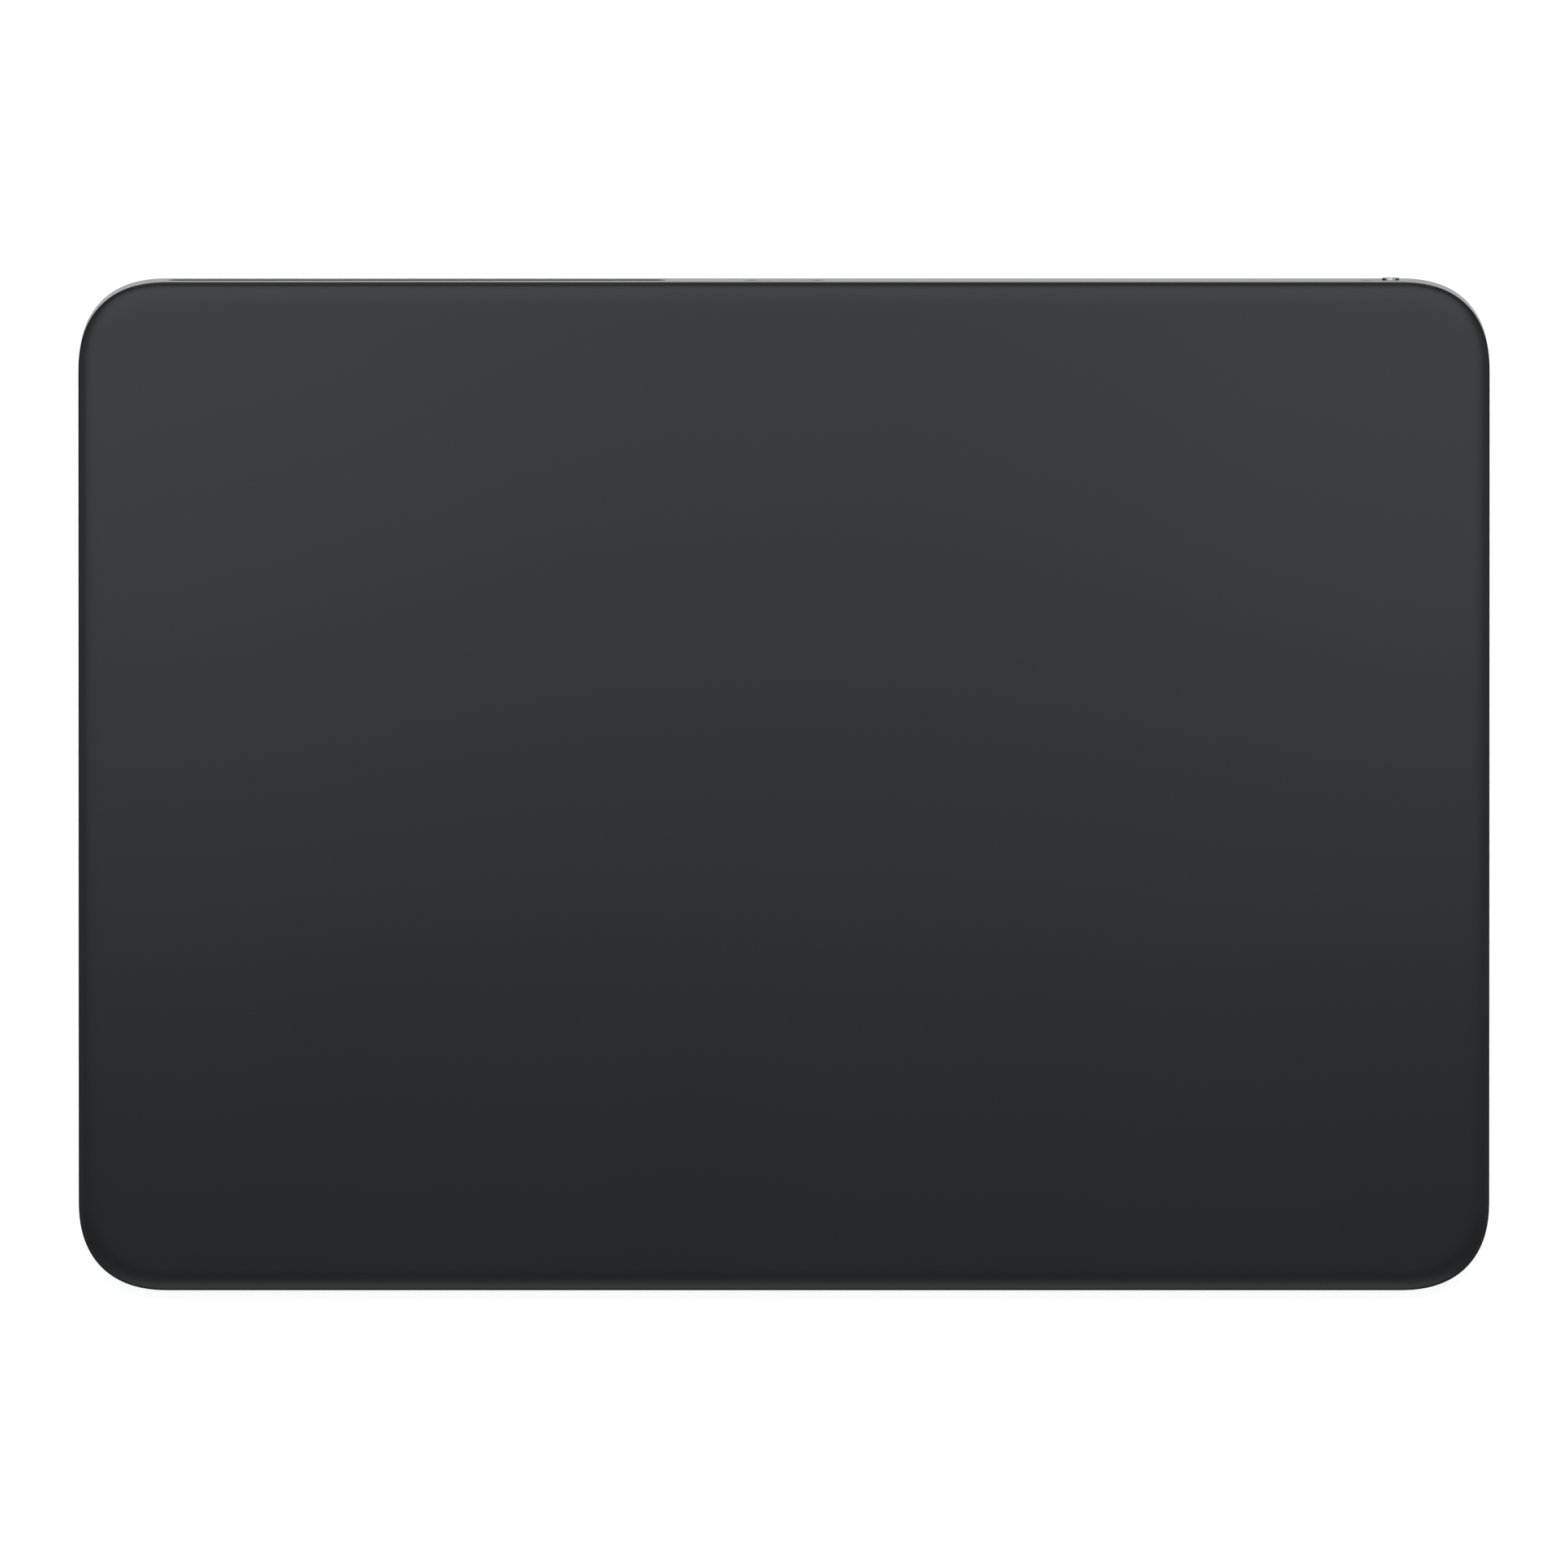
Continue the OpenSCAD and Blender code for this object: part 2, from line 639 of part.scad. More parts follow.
// Plastic plug that fills its slot flush with the wall, with a flange behind the wall
module antenna_window() color("dimgray") deck() translate([antenna_x, 0, -rear_line]) {
    along_slope(rear_inside, rear_face) pill(antenna_l, antenna_h);
    along_slope(rear_inside - antenna_flange_t, rear_inside)
        pill(antenna_l + 2 * antenna_lap, antenna_h + 2 * antenna_lap);
}

module bottom_cover() color("gainsboro") difference() {
    translate([0, base_y, base_z]) linear_extrude(cover_t)
        polygon(base_outline(cover_inset + cover_gap));
    for (s = CORNER_SIGNS)
        translate([s[0] * foot_x, base_y + s[1] * foot_y, base_z - cut])
            cylinder(d = foot_d, h = foot_recess + cut);
}

module cover_adhesive() color("black") translate([0, base_y, base_z + cover_t])
    linear_extrude(cover_glue_t) difference() {
        polygon(base_outline(cover_inset + 2 * cover_gap));
        polygon(base_outline(cover_inset + 2 * cover_gap + cover_glue_w));
    }

// Rubber disc with a rounded lower edge
module foot(s) color("whitesmoke") translate([s[0] * foot_x, base_y + s[1] * foot_y, 0]) rotate_extrude() {
    edge = [for (k = [0:edge_steps])
        let (a = 90 * k / edge_steps)
        [foot_d / 2 - foot_round * (1 - sin(a)), foot_round * (1 - cos(a))]];
    polygon(concat([[0, 0]], edge, [[foot_d / 2, foot_h + foot_recess], [0, foot_h + foot_recess]]));
}

function cell_ring(sx, inset, z) =
    [for (p = outline(battery_w - 2 * inset, battery_d - 2 * inset, cell_corner - inset))
        [sx * battery_mid[0] + p[0], battery_mid[1] + p[1], z]];

// A pouch cell with rounded edges
module battery(sx) color("darkslategray") {
    upper = [for (k = [0:edge_steps])
        let (a = 90 * k / edge_steps)
        cell_ring(sx, battery_round * (1 - sin(a)), battery_top - battery_round * (1 - cos(a)))];
    loft(concat(upper, [cell_ring(sx, 0, battery_base)]));
}

module battery_pads() color("khaki") {
    pad_margin = 6;
    for (sx = [-1, 1])
        translate([sx * battery_mid[0], battery_mid[1], base_z + cover_t]) linear_extrude(battery_pad_t)
            square([battery_w - 2 * pad_margin, battery_d - 2 * pad_margin], center = true);
}

// Two tabs from each cell, welded to the protection board
module battery_tabs() color("silver") {
    tab_t = 0.1;
    for (sx = [-1, 1], k = [-1, 1])
        translate([sx * battery_mid[0] + k * tab_pitch / 2 - tab_w / 2, battery_rear, battery_board_top])
            cube([tab_w, battery_board_front - battery_rear + battery_board_size[0] / 2, tab_t]);
}

module battery_board() color("seagreen") {
    reach = battery_mid[0] + tab_pitch / 2 + tab_w / 2 + battery_board_end;
    translate([-reach, battery_board_front, floor_top])
        cube([2 * reach, battery_board_size[0], battery_board_size[1]]);
}

// Ribbon that climbs from the protection board, past the main board's front edge, onto its connector
module battery_lead() color("orange") {
    lap = 1;
    edge_gap = 0.2;
    low = battery_board_top + ribbon_t / 2;
    plug_height = -connector_top + ribbon_t / 2;
    plug_front = deck_point(0, connector_front, plug_height);
    plug_rear = deck_point(0, connector_rear, plug_height);
    foot = [battery_board_rear - lap / 2, low];
    head = [deck_y_at(board_front, board_top) - edge_gap, plug_front[2]];
    path = concat([[battery_board_rear - lap, low]], bend(foot, head),
        [[plug_front[1], plug_front[2]], [plug_rear[1], plug_rear[2]]]);
    deck_ribbon(path, battery_plug[0], battery_plug[1] - 2 * ribbon_margin);
}

// Main board with two horns that hold the port between them
module main_board() color("darkgreen") deck() difference() {
    side_gap = 0.15;
    back_gap = 0.3;
    notch_w = port_w + 2 * side_gap;
    layer(board_top, board_under) difference() {
        union() {
            translate([-board_w / 2, board_front]) square([board_w, board_d]);
            translate([-horn_w / 2, board_front]) square([horn_w, horn_rear - board_front]);
        }
        translate([-notch_w / 2, port_back - back_gap]) square([notch_w, port_l + wall_t]);
    }
    screw_holes(board_screw_at, board_top, board_screw_l);
    screw_holes(port_screw_at, board_top, board_screw_l);
}

// Places and sizes of the chips on the main board: x, distance from its front edge, width, depth, height
board_chips_at = [[0, 11, 9, 9, 0.9], [13.5, 10.5, 6, 6, 0.8], [23.5, 11.5, 5, 7, 0.9],
    [32, 10, 4, 4, 0.7], [-10.5, 10.5, 4, 4, 1.2], [-29, 10.5, 7, 7, 0.8]];
module board_chips() color("dimgray") deck()
    for (c = board_chips_at)
        deck_box([c[0], board_front + c[1]], [c[2], c[3]], board_top - c[4], board_top);

// Two rows of small chip capacitors
module board_passives() color("tan") deck() {
    count = 8;
    for (k = [0:count - 1], row = passive_rows)
        deck_box([passive_x + k * passive_pitch, board_front + row], [passive_size[0], passive_size[1]],
            board_top - passive_size[2], board_top);
}

// Drawn steel can over the radio, open below
module board_shield() color("silver") deck() {
    sheet = 0.2;
    top = board_top - shield_size[2];
    can = [shield_size[0], shield_size[1]];
    at = [shield_at[0], board_front + shield_at[1]];
    deck_box(at, can, top, top + sheet);
    translate([at[0], at[1], 0]) layer(top, board_top) difference() {
        square(can, center = true);
        square([can[0] - 2 * sheet, can[1] - 2 * sheet], center = true);
    }
}

module board_connectors() color("ivory") deck()
    for (plug = [battery_plug, haptic_plug, sensor_plug])
        deck_box([plug[0], connector_v], [plug[1], connector_size[0]], connector_top, board_top);

module board_screws() color("gray") deck()
    for (at = board_screw_at) screw(at, board_top, board_screw_l);

// Drawn tube with round ends, closed at the back, with two ears on the board's horns
module port_shell() color("silver") deck() {
    ear_size = [1.6, 1.8];
    ear_t = 0.25;
    ear_root = 0.1;
    ear_back = 0.5;
    translate([0, 0, -rear_line]) difference() {
        along_slope(port_back, port_mouth) pill(port_w, port_h);
        along_slope(tongue_root, port_mouth + cut) pill(port_w - 2 * port_wall, port_h - 2 * port_wall);
    }
    for (sx = [-1, 1])
        deck_box([sx * (port_w / 2 + ear_size[0] / 2 - ear_root), port_back + ear_back + ear_size[1] / 2],
            ear_size, board_top - ear_t, board_top);
}

// Moulded block at the back of the port, with the tongue that carries the contacts
module port_tongue() color("black") deck() translate([0, 0, -rear_line]) {
    block_gap = 0.05;
    inset = port_wall + block_gap;
    tongue_from = tongue_root + tongue_block_d;
    along_slope(tongue_root, tongue_from) pill(port_w - 2 * inset, port_h - 2 * inset);
    along_slope(tongue_from, tongue_from + tongue_size[2])
        square([tongue_size[0], tongue_size[1]], center = true);
}

module port_contacts() color("gold") deck() translate([0, 0, -rear_line])
    for (k = [0:contact_count - 1], side = [-1, 1])
        translate([(k - (contact_count - 1) / 2) * contact_pitch - contact_size[0] / 2,
            tongue_root + tongue_block_d,
            side * (tongue_size[1] + contact_size[2]) / 2 - contact_size[2] / 2])
            cube(contact_size);

// Sheet saddle over the port, with an ear on each horn
module port_bracket() color("lightgray") deck() difference() {
    gap = 0.1;
    ear_margin = 0.4;
    front_gap = 2.5;
    rear_gap = 0.2;
    ear_x = horn_w / 2 - ear_margin;
    inner_x = port_w / 2 + gap;
    outer_x = inner_x + bracket_t;
    roof = board_top - rear_line + port_h / 2 + gap;
    outside = [[ear_x, 0], [ear_x, bracket_t], [outer_x, bracket_t], [outer_x, roof + bracket_t]];
    inside = [[inner_x, 0], [inner_x, roof]];
    profile = concat(outside, [for (p = reversed(outside)) [-p[0], p[1]]],
        [for (p = inside) [-p[0], p[1]]], reversed(inside));
    translate([0, 0, -board_top]) along_slope(port_back + front_gap, horn_rear - rear_gap) polygon(profile);
    screw_holes(port_screw_at, board_top - bracket_t, board_screw_l);
}

module port_screws() color("gray") deck()
    for (at = port_screw_at) screw(at, board_top - bracket_t, board_screw_l);

module antenna_carrier() color("ivory") deck()
    translate([antenna_x - antenna_carrier_l / 2, antenna_carrier_front,
        -antenna_carrier_top - antenna_carrier_size[1]])
        cube([antenna_carrier_l, antenna_carrier_size[0], antenna_carrier_size[1]]);

// Meandering copper trace along the top of the carrier, from its far end to the feed
module antenna_trace() color("chocolate") deck() {
    trace_w = 0.5;
    trace_t = 0.06;
    margin = 0.3;
    pitch = 1.6;
    end_gap = 1;
    feed_gap = 2.5;
    left = antenna_x - antenna_carrier_l / 2 + end_gap;
    count = 2 * floor((antenna_feed_x - feed_gap - left) / pitch / 2);
    near = antenna_carrier_front + margin;
    far = antenna_carrier_rear - margin;
    layer(antenna_carrier_top - trace_t, antenna_carrier_top) {
        for (k = [0:count]) translate([left + k * pitch, near]) square([trace_w, far - near]);
        for (k = [0:count - 1])
            translate([left + k * pitch, k % 2 == 0 ? near : far - trace_w])
                square([pitch + trace_w, trace_w]);
    }
}

// Ribbon from the antenna's feed down onto the main board
module antenna_flex() color("orange") deck() {
    ribbon_w = 3;
    end_gap = 0.5;
    edge_gap = 0.2;
    landing = 0.5;
    lap = 2.6;
    high = -antenna_carrier_top + ribbon_t / 2;
    low = -board_top + ribbon_t / 2;
    path = concat([[antenna_carrier_rear - end_gap, high]],
        bend([antenna_carrier_front - edge_gap, high], [board_rear - landing, low]),
        [[board_rear - lap, low]]);
    deck_ribbon(path, antenna_feed_x, ribbon_w);
}

module switch_board() color("darkgreen") deck() difference() {
    layer(switch_board_top, switch_board_under)
        translate([switch_board_left, switch_board_front])
            square([switch_board_right - switch_board_left, switch_board_rear - switch_board_front]);
    screw_holes(switch_screw_at, switch_board_top, screw_l);
}

// Slide switch, with a groove that takes the slider's peg
module switch_body() color("black") deck() difference() {
    groove_gap = 0.2;
    groove = [peg_size[0] + switch_travel + 2 * groove_gap, peg_size[1] + 2 * groove_gap];
    deck_box([switch_x, switch_body_rear - switch_body_size[1] / 2],
        [switch_body_size[0], switch_body_size[1]],
        switch_board_top - switch_body_size[2], switch_board_top);
    translate([switch_x, 0, -rear_line])
        along_slope(switch_body_rear - peg_size[2] - groove_gap, switch_body_rear + cut)
            square(groove, center = true);
}

module switch_screws() color("gray") deck()
    for (at = switch_screw_at) screw(at, switch_board_top, screw_l);

// Ribbon from the switch's board up onto the right-hand end of the main board
module switch_flex() color("orange") deck() {
    ribbon_w = 2.6;
    rear_gap = 0.3;
    edge_gap = 1;
    laps = [2.5, 3];
    low = -switch_board_top + ribbon_t / 2;
    high = -board_top + ribbon_t / 2;
    board_end = board_w / 2;
    path = concat([[switch_board_left + laps[0], low]],
        bend([switch_board_left - edge_gap, low], [board_end + edge_gap, high]),
        [[board_end - laps[1], high]]);
    translate([0, board_rear - rear_gap, 0]) rotate([90, 0, 0]) linear_extrude(ribbon_w) ribbon(path);
}

// Sheet spring: a screwed pad, a neck that bends, and a pad under the load button
module flexure(s) color("lightsteelblue") deck() difference() {
    neck_from = load_x + flexure_w / 2;
    neck_to = flexure_x - flexure_pad_l / 2;
    layer(flexure_top, flexure_under) scale([s[0], 1]) translate([0, s[1] * flexure_v]) {
        translate([neck_to, -flexure_w / 2]) square([flexure_pad_l, flexure_w]);
        translate([neck_from - cut, -flexure_neck_w / 2])
            square([neck_to - neck_from + 2 * cut, flexure_neck_w]);
        translate([load_x, 0]) circle(d = flexure_w);
    }
    screw_holes(flexure_screws_at(s), flexure_top, screw_l);
}

module strain_gauges() color("peru") deck()
    for (s = CORNER_SIGNS)
        deck_box([s[0] * (flexure_x - flexure_pad_l / 2 - gauge_size[0] / 2), s[1] * flexure_v],
            [gauge_size[0], gauge_size[1]], flexure_top - gauge_size[2], flexure_top);

module flexure_screws() color("gray") deck()
    for (s = CORNER_SIGNS, at = flexure_screws_at(s)) screw(at, flexure_top, screw_l);

// Sheet base screwed to the floor's ribs, with a raised step that carries the core's back bar
module haptic_base() color("lightgray") deck() difference() {
    corner = 2;
    union() {
        translate([0, (pole_v + haptic_base_rear) / 2, 0]) layer(haptic_base_top, haptic_base_under)
            polygon(outline(haptic_base_w, haptic_base_rear - pole_v, corner));
        deck_box([0, haptic_back - core_back_d / 2], [core_w, core_back_d],
            core_top + core_t, haptic_base_top);
    }
    screw_holes(haptic_screw_at, haptic_base_top, screw_l);
}

// Comb of stacked steel sheets, its legs reaching forward to the armature
module haptic_core() color("slategray") deck() layer(core_top, core_top + core_t) {
    for (k = [0:leg_count - 1])
        translate([leg_x(k) - leg_w / 2, pole_v]) square([leg_w, leg_l + core_back_d / 2]);
    translate([-core_w / 2, pole_v + leg_l]) square([core_w, core_back_d]);
}

// Copper winding round one leg
module haptic_coil(k) color("chocolate") deck()
    translate([leg_x(k), 0, -core_top - core_t / 2])
        along_slope(pole_v + leg_l - coil_l - coil_wall, pole_v + leg_l - coil_wall) difference() {
            bore = [leg_w + 2 * coil_gap, core_t + 2 * coil_gap];
            polygon(outline(bore[0] + 2 * coil_wall, bore[1] + 2 * coil_wall, coil_wall));
            square(bore, center = true);
        }

module haptic_screws() color("gray") deck()
    for (at = haptic_screw_at) screw(at, haptic_base_top, screw_l);

// Ribbon from the haptic engine's base onto the main board's middle connector
module haptic_flex() color("orange") deck() {
    back_gap = 0.6;
    low = -haptic_base_top + ribbon_t / 2;
    high = -connector_top + ribbon_t / 2;
    path = concat([[haptic_back + back_gap, low]],
        bend([haptic_base_rear, low], [connector_front, high]), [[connector_rear, high]]);
    deck_ribbon(path, haptic_plug[0], haptic_plug[1] - 2 * ribbon_margin);
}

// Ribbon that hangs in a loose bend between the touch plate and the main board
module sensor_flex() color("orange") deck() {
    plug_half = connector_size[0] / 2;
    high = -sensor_under - sensor_chip_h - ribbon_t / 2;
    low = -connector_top + ribbon_t / 2;
    path = concat([[sensor_plug_v - plug_half, high]],
        bend([sensor_plug_v + plug_half, high], [connector_front, low]), [[connector_rear, low]]);
    deck_ribbon(path, sensor_plug[0], sensor_plug[1] - 2 * ribbon_margin);
}

module load_buttons() color("gray") deck()
    for (s = CORNER_SIGNS)
        translate([s[0] * load_x, s[1] * flexure_v, -flexure_top]) cylinder(d = button_d, h = button_t);

module gel_pads() color("lavender") deck()
    for (s = CORNER_SIGNS)
        translate([s[0] * load_x, s[1] * flexure_v, -button_top]) cylinder(d = gel_d, h = gel_t);

// Glass with a softly rounded upper edge
module glass_plate() color("darkslategray") deck() {
    upper = [for (k = [0:edge_steps])
        let (a = 90 * k / edge_steps)
        deck_ring(glass_round_w * (1 - sin(a)), glass_round_h * (1 - cos(a)))];
    loft(concat(upper, [deck_ring(0, glass_t - glass_chamfer), deck_ring(glass_chamfer, glass_t)]));
}

module bonding_film() color("lightyellow") deck()
    layer(film_top, sensor_top) polygon(deck_outline(film_inset));

module sensor_board() color("darkgreen") deck()
    layer(sensor_top, sensor_under) polygon(deck_outline(film_inset));

// Chips and ribbon connector under the sensor board: the x, the width and the share of the height of each
sensor_chips_at = [[-13, 7, 0.8], [0, 9, 0.8], [13, 6, 0.7]];
module sensor_chips() color("dimgray") deck() {
    for (c = sensor_chips_at)
        deck_box([c[0], chip_window_v], [c[1], c[1]], sensor_under, sensor_under + c[2] * sensor_chip_h);
    deck_box([sensor_plug[0], sensor_plug_v], [sensor_plug[1], connector_size[0]],
        sensor_under, sensor_under + sensor_chip_h);
}

module stiffener_plate() color("lightslategray") deck() layer(sensor_under, plate_under) difference() {
    window_gap = 1;
    window_round = 1.5;
    polygon(deck_outline(stiffener_inset));
    translate([0, chip_window_v]) polygon(outline(chip_window[0], chip_window[1], window_round));
    translate([sensor_plug[0], sensor_plug_v])
        polygon(outline(sensor_plug[1] + 2 * window_gap, connector_size[0] + 2 * window_gap,
            window_round));
}

// Steel bar welded under the stiffener, facing the core's legs across the air gap
module haptic_armature() color("slategray") deck()
    deck_box([0, pole_v - air_gap - armature_d / 2], [core_w, armature_d], plate_under, core_top + core_t);

// Round knob with a crowned face, which slides in the slot
module switch_knob() color("gainsboro") deck() translate([knob_x, 0, -rear_line]) rotate([-90, 0, 0])
    rotate_extrude() {
        tip = rear_face + knob_proud;
        crown = [for (k = [0:edge_steps])
            let (t = k / edge_steps)
            [knob_d / 2 * t, tip - knob_crown * t * t]];
        polygon(concat([[0, slider_rear]], crown, [[knob_d / 2, slider_rear]]));
    }

module switch_slider() color("white") deck() translate([knob_x, 0, -rear_line]) {
    along_slope(slider_front, slider_rear) square([slider_l, slider_h], center = true);
    along_slope(switch_body_rear - peg_size[2], slider_front)
        square([peg_size[0], peg_size[1]], center = true);
}

// Colour patch on the slider, which the slot uncovers when the switch is on
module on_indicator() color("limegreen") deck() translate([knob_x, 0, -rear_line]) {
    patch_t = 0.06;
    patch_gap = 0.15;
    from = knob_d / 2 + patch_gap;
    to = slider_l / 2 - patch_gap;
    along_slope(slider_rear, slider_rear + patch_t)
        translate([-(from + to) / 2, 0]) square([to - from, slot_h + slider_lap], center = true);
}

housing();
antenna_window();
bottom_cover();
cover_adhesive();
for (i = [0:3]) foot(CORNER_SIGNS[i]);
battery(-1);  // battery_left
battery(1);  // battery_right
battery_pads();
battery_tabs();
battery_board();
battery_lead();
main_board();
board_chips();
board_passives();
board_shield();
board_connectors();
board_screws();
port_shell();
port_tongue();
port_contacts();
port_bracket();
port_screws();
antenna_carrier();
antenna_trace();
antenna_flex();
switch_board();
switch_body();
switch_screws();
switch_flex();
for (i = [0:3]) flexure(CORNER_SIGNS[i]);
strain_gauges();
flexure_screws();
haptic_base();
haptic_core();
for (k = [0:leg_count - 1]) haptic_coil(k);
haptic_screws();
haptic_flex();
sensor_flex();
load_buttons();
glass_plate();
bonding_film();
sensor_board();
sensor_chips();
stiffener_plate();
haptic_armature();
gel_pads();
switch_knob();
switch_slider();
on_indicator();
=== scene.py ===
"""A desk trackpad: a satin glass plate on a wedge of pale aluminium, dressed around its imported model."""
import json
import math

import bmesh
import bpy
import numpy as np
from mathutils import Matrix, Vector


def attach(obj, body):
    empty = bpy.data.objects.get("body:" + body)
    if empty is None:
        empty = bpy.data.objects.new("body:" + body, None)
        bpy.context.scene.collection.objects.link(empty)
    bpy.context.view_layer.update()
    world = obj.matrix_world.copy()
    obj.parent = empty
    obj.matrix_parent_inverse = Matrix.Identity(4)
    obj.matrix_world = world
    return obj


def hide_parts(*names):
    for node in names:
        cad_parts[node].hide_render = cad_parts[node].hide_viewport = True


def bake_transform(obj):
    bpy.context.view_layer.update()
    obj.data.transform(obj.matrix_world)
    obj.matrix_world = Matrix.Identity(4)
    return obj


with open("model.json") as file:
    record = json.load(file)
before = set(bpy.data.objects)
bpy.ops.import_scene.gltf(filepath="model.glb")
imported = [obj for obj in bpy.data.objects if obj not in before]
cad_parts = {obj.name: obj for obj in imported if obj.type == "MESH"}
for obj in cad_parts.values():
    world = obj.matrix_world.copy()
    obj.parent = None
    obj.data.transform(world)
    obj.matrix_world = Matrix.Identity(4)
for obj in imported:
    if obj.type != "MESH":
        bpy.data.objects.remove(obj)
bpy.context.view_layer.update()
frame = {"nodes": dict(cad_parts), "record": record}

# Housing: one block of aluminium alloy, milled to a wedge, bead-blasted and clear-anodised pale silver.
# Its walls stand square to the glass, its lower edge is rounded, and its pocket holds everything else.
MM = 0.001
BODY_W = 160.0
DECK_D = 114.5
FRONT_H = 4.9
REAR_H = 10.9
CORNER_REACH = 10.36
CORNER_POWER = 2.4
BASE_POWER = 2.45
BASE_Z = 0.5
BOTTOM_ROUND = 0.8
RIM_DEPTH = 1.4
RIM_CHAMFER = 0.2
COVER_INSET = 2.4
COVER_RECESS = 0.7
EDGE_BREAK = 0.06
WALL_T = 1.5
ALUMINIUM = "#c0c1c3"
FILM_TINT = "#9fa0a3"
BLAST_GRAIN = 0.11
CLOUD_SIZE = 22.0

TILT = math.asin((REAR_H - FRONT_H) / DECK_D)
DECK_Z = (FRONT_H + REAR_H) / 2
WALL_LEAN = (DECK_Z - BASE_Z - BOTTOM_ROUND) * math.tan(TILT)
DECK_Y = -(DECK_D / 2 * (1 / math.cos(TILT) - math.cos(TILT)) + WALL_LEAN) / 2
BASE_Y = DECK_Y + (DECK_Z - BASE_Z) * math.tan(TILT)
REAR_FACE = DECK_D / 2
DECK_V0 = DECK_Y * math.cos(TILT) + DECK_Z * math.sin(TILT)
DECK_W0 = DECK_Z * math.cos(TILT) - DECK_Y * math.sin(TILT)


def deck(x, v, w):
    """World points, in metres, of millimetres across, up the slope and above the top of the glass."""
    x, v, w = np.broadcast_arrays(x, v, w)
    y = DECK_Y + v * math.cos(TILT) - w * math.sin(TILT)
    z = DECK_Z + v * math.sin(TILT) + w * math.cos(TILT)
    return np.stack([x, y, z], axis=-1) * MM


def outline(width, depth, reach, power=2.0, steps=40, beside=0.6, share=0.4):
    """Rectangle whose corners follow a superellipse, with a point on the straight beside each corner."""
    straight = min(width, depth) - 2 * reach
    beside = min(beside, share * straight)
    ways = np.array([(0, 1), (-1, 0), (0, -1), (1, 0), (0, 1)])
    points = []
    for quarter, (sx, sy) in enumerate(((1, 1), (-1, 1), (-1, -1), (1, -1))):
        angle = np.radians(90 * quarter + np.linspace(0, 90, steps + 1))
        curve = np.stack([np.cos(angle), np.sin(angle)], axis=1)
        curve = np.sign(curve) * np.abs(np.round(curve, 12)) ** (2 / power)
        corner = (sx * (width / 2 - reach), sy * (depth / 2 - reach)) + reach * curve
        points += [corner[0] - beside * ways[quarter], *corner, corner[-1] + beside * ways[quarter + 1]]
    return np.array(points)


def deck_outline(inset, power=CORNER_POWER):
    """Outline of the glass, or of the housing's wall, drawn in by a distance."""
    return outline(BODY_W - 2 * inset, DECK_D - 2 * inset, CORNER_REACH - inset, power)


def rim_ring(inset, depth):
    """Ring round the wall at a depth below the top of the glass."""
    points = deck_outline(inset)
    return deck(points[:, 0], points[:, 1], -depth)


def wall_ring(inset, z):
    """Ring round the lower wall, whose corners are a little squarer, at a height above the desk."""
    points = deck_outline(inset, BASE_POWER)
    y = DECK_Y + points[:, 1] / math.cos(TILT) - (z - DECK_Z) * math.tan(TILT)
    return np.stack([points[:, 0], y, np.full(len(y), z)], axis=1) * MM


def base_ring(inset, z):
    """Level ring on the underside at a height above the desk."""
    depth = DECK_D / math.cos(TILT)
    points = outline(BODY_W - 2 * inset, depth - 2 * inset, CORNER_REACH - inset, BASE_POWER)
    return np.stack([points[:, 0], BASE_Y + points[:, 1], np.full(len(points), z)], axis=1) * MM


def loft(name, rings):
    """Closed mesh through a row of rings, with a flat face over each end."""
    count = len(rings[0])
    rows = np.arange(len(rings) * count).reshape(len(rings), count)
    nexts = np.roll(rows, -1, axis=1)
    sides = np.stack([rows[:-1], nexts[:-1], nexts[1:], rows[1:]], axis=-1).reshape(-1, 4)
    mesh = bpy.data.meshes.new(name)
    mesh.from_pydata(np.concatenate(rings).tolist(), [],
                     [*sides.tolist(), rows[0][::-1].tolist(), rows[-1].tolist()])
    return tidy(mesh)


def tidy(mesh, merge=1e-7, crease=28):
    """Drops packed normals, merges doubles, turns faces outwards and shades smooth between creases."""
    packed = mesh.attributes.get("custom_normal")
    if packed:
        mesh.attributes.remove(packed)
    shape = bmesh.new()
    shape.from_mesh(mesh)
    bmesh.ops.remove_doubles(shape, verts=shape.verts, dist=merge)
    bmesh.ops.recalc_face_normals(shape, faces=shape.faces)
    shape.to_mesh(mesh)
    shape.free()
    mesh.shade_smooth()
    mesh.set_sharp_from_angle(angle=math.radians(crease))
    return mesh


def new_piece(name, mesh):
    """Object at the origin for a mesh that is already in its place."""
    piece = bpy.data.objects.new(name, mesh)
    bpy.context.scene.collection.objects.link(piece)
    return piece


def combine(mesh, others, operation):
    """Cuts closed meshes out of a mesh, or fuses them with it."""
    piece = new_piece("base", mesh)
    for other in others:
        partner = new_piece("partner", other)
        step = piece.modifiers.new("combine", "BOOLEAN")
        step.solver = "EXACT"
        step.operation = operation
        step.object = partner
        depsgraph = bpy.context.evaluated_depsgraph_get()
        result = bpy.data.meshes.new_from_object(piece.evaluated_get(depsgraph))
        piece.modifiers.clear()
        piece.data = result
        bpy.data.objects.remove(partner)
    bpy.data.objects.remove(piece)
    return tidy(result)


def pill_ring(length, height, middle_x, depth, v, grow=0.0, count=25):
    """Ring with round ends that stands across the slope, round a feature of the rear wall."""
    radius = height / 2
    angle = np.radians(np.concatenate([np.linspace(-90, 90, count), np.linspace(90, 270, count)]))
    ends = np.repeat([1, -1], count) * (length - height) / 2
    x = middle_x + ends + (radius + grow) * np.cos(angle)
    return deck(x, v, -depth + (radius + grow) * np.sin(angle))


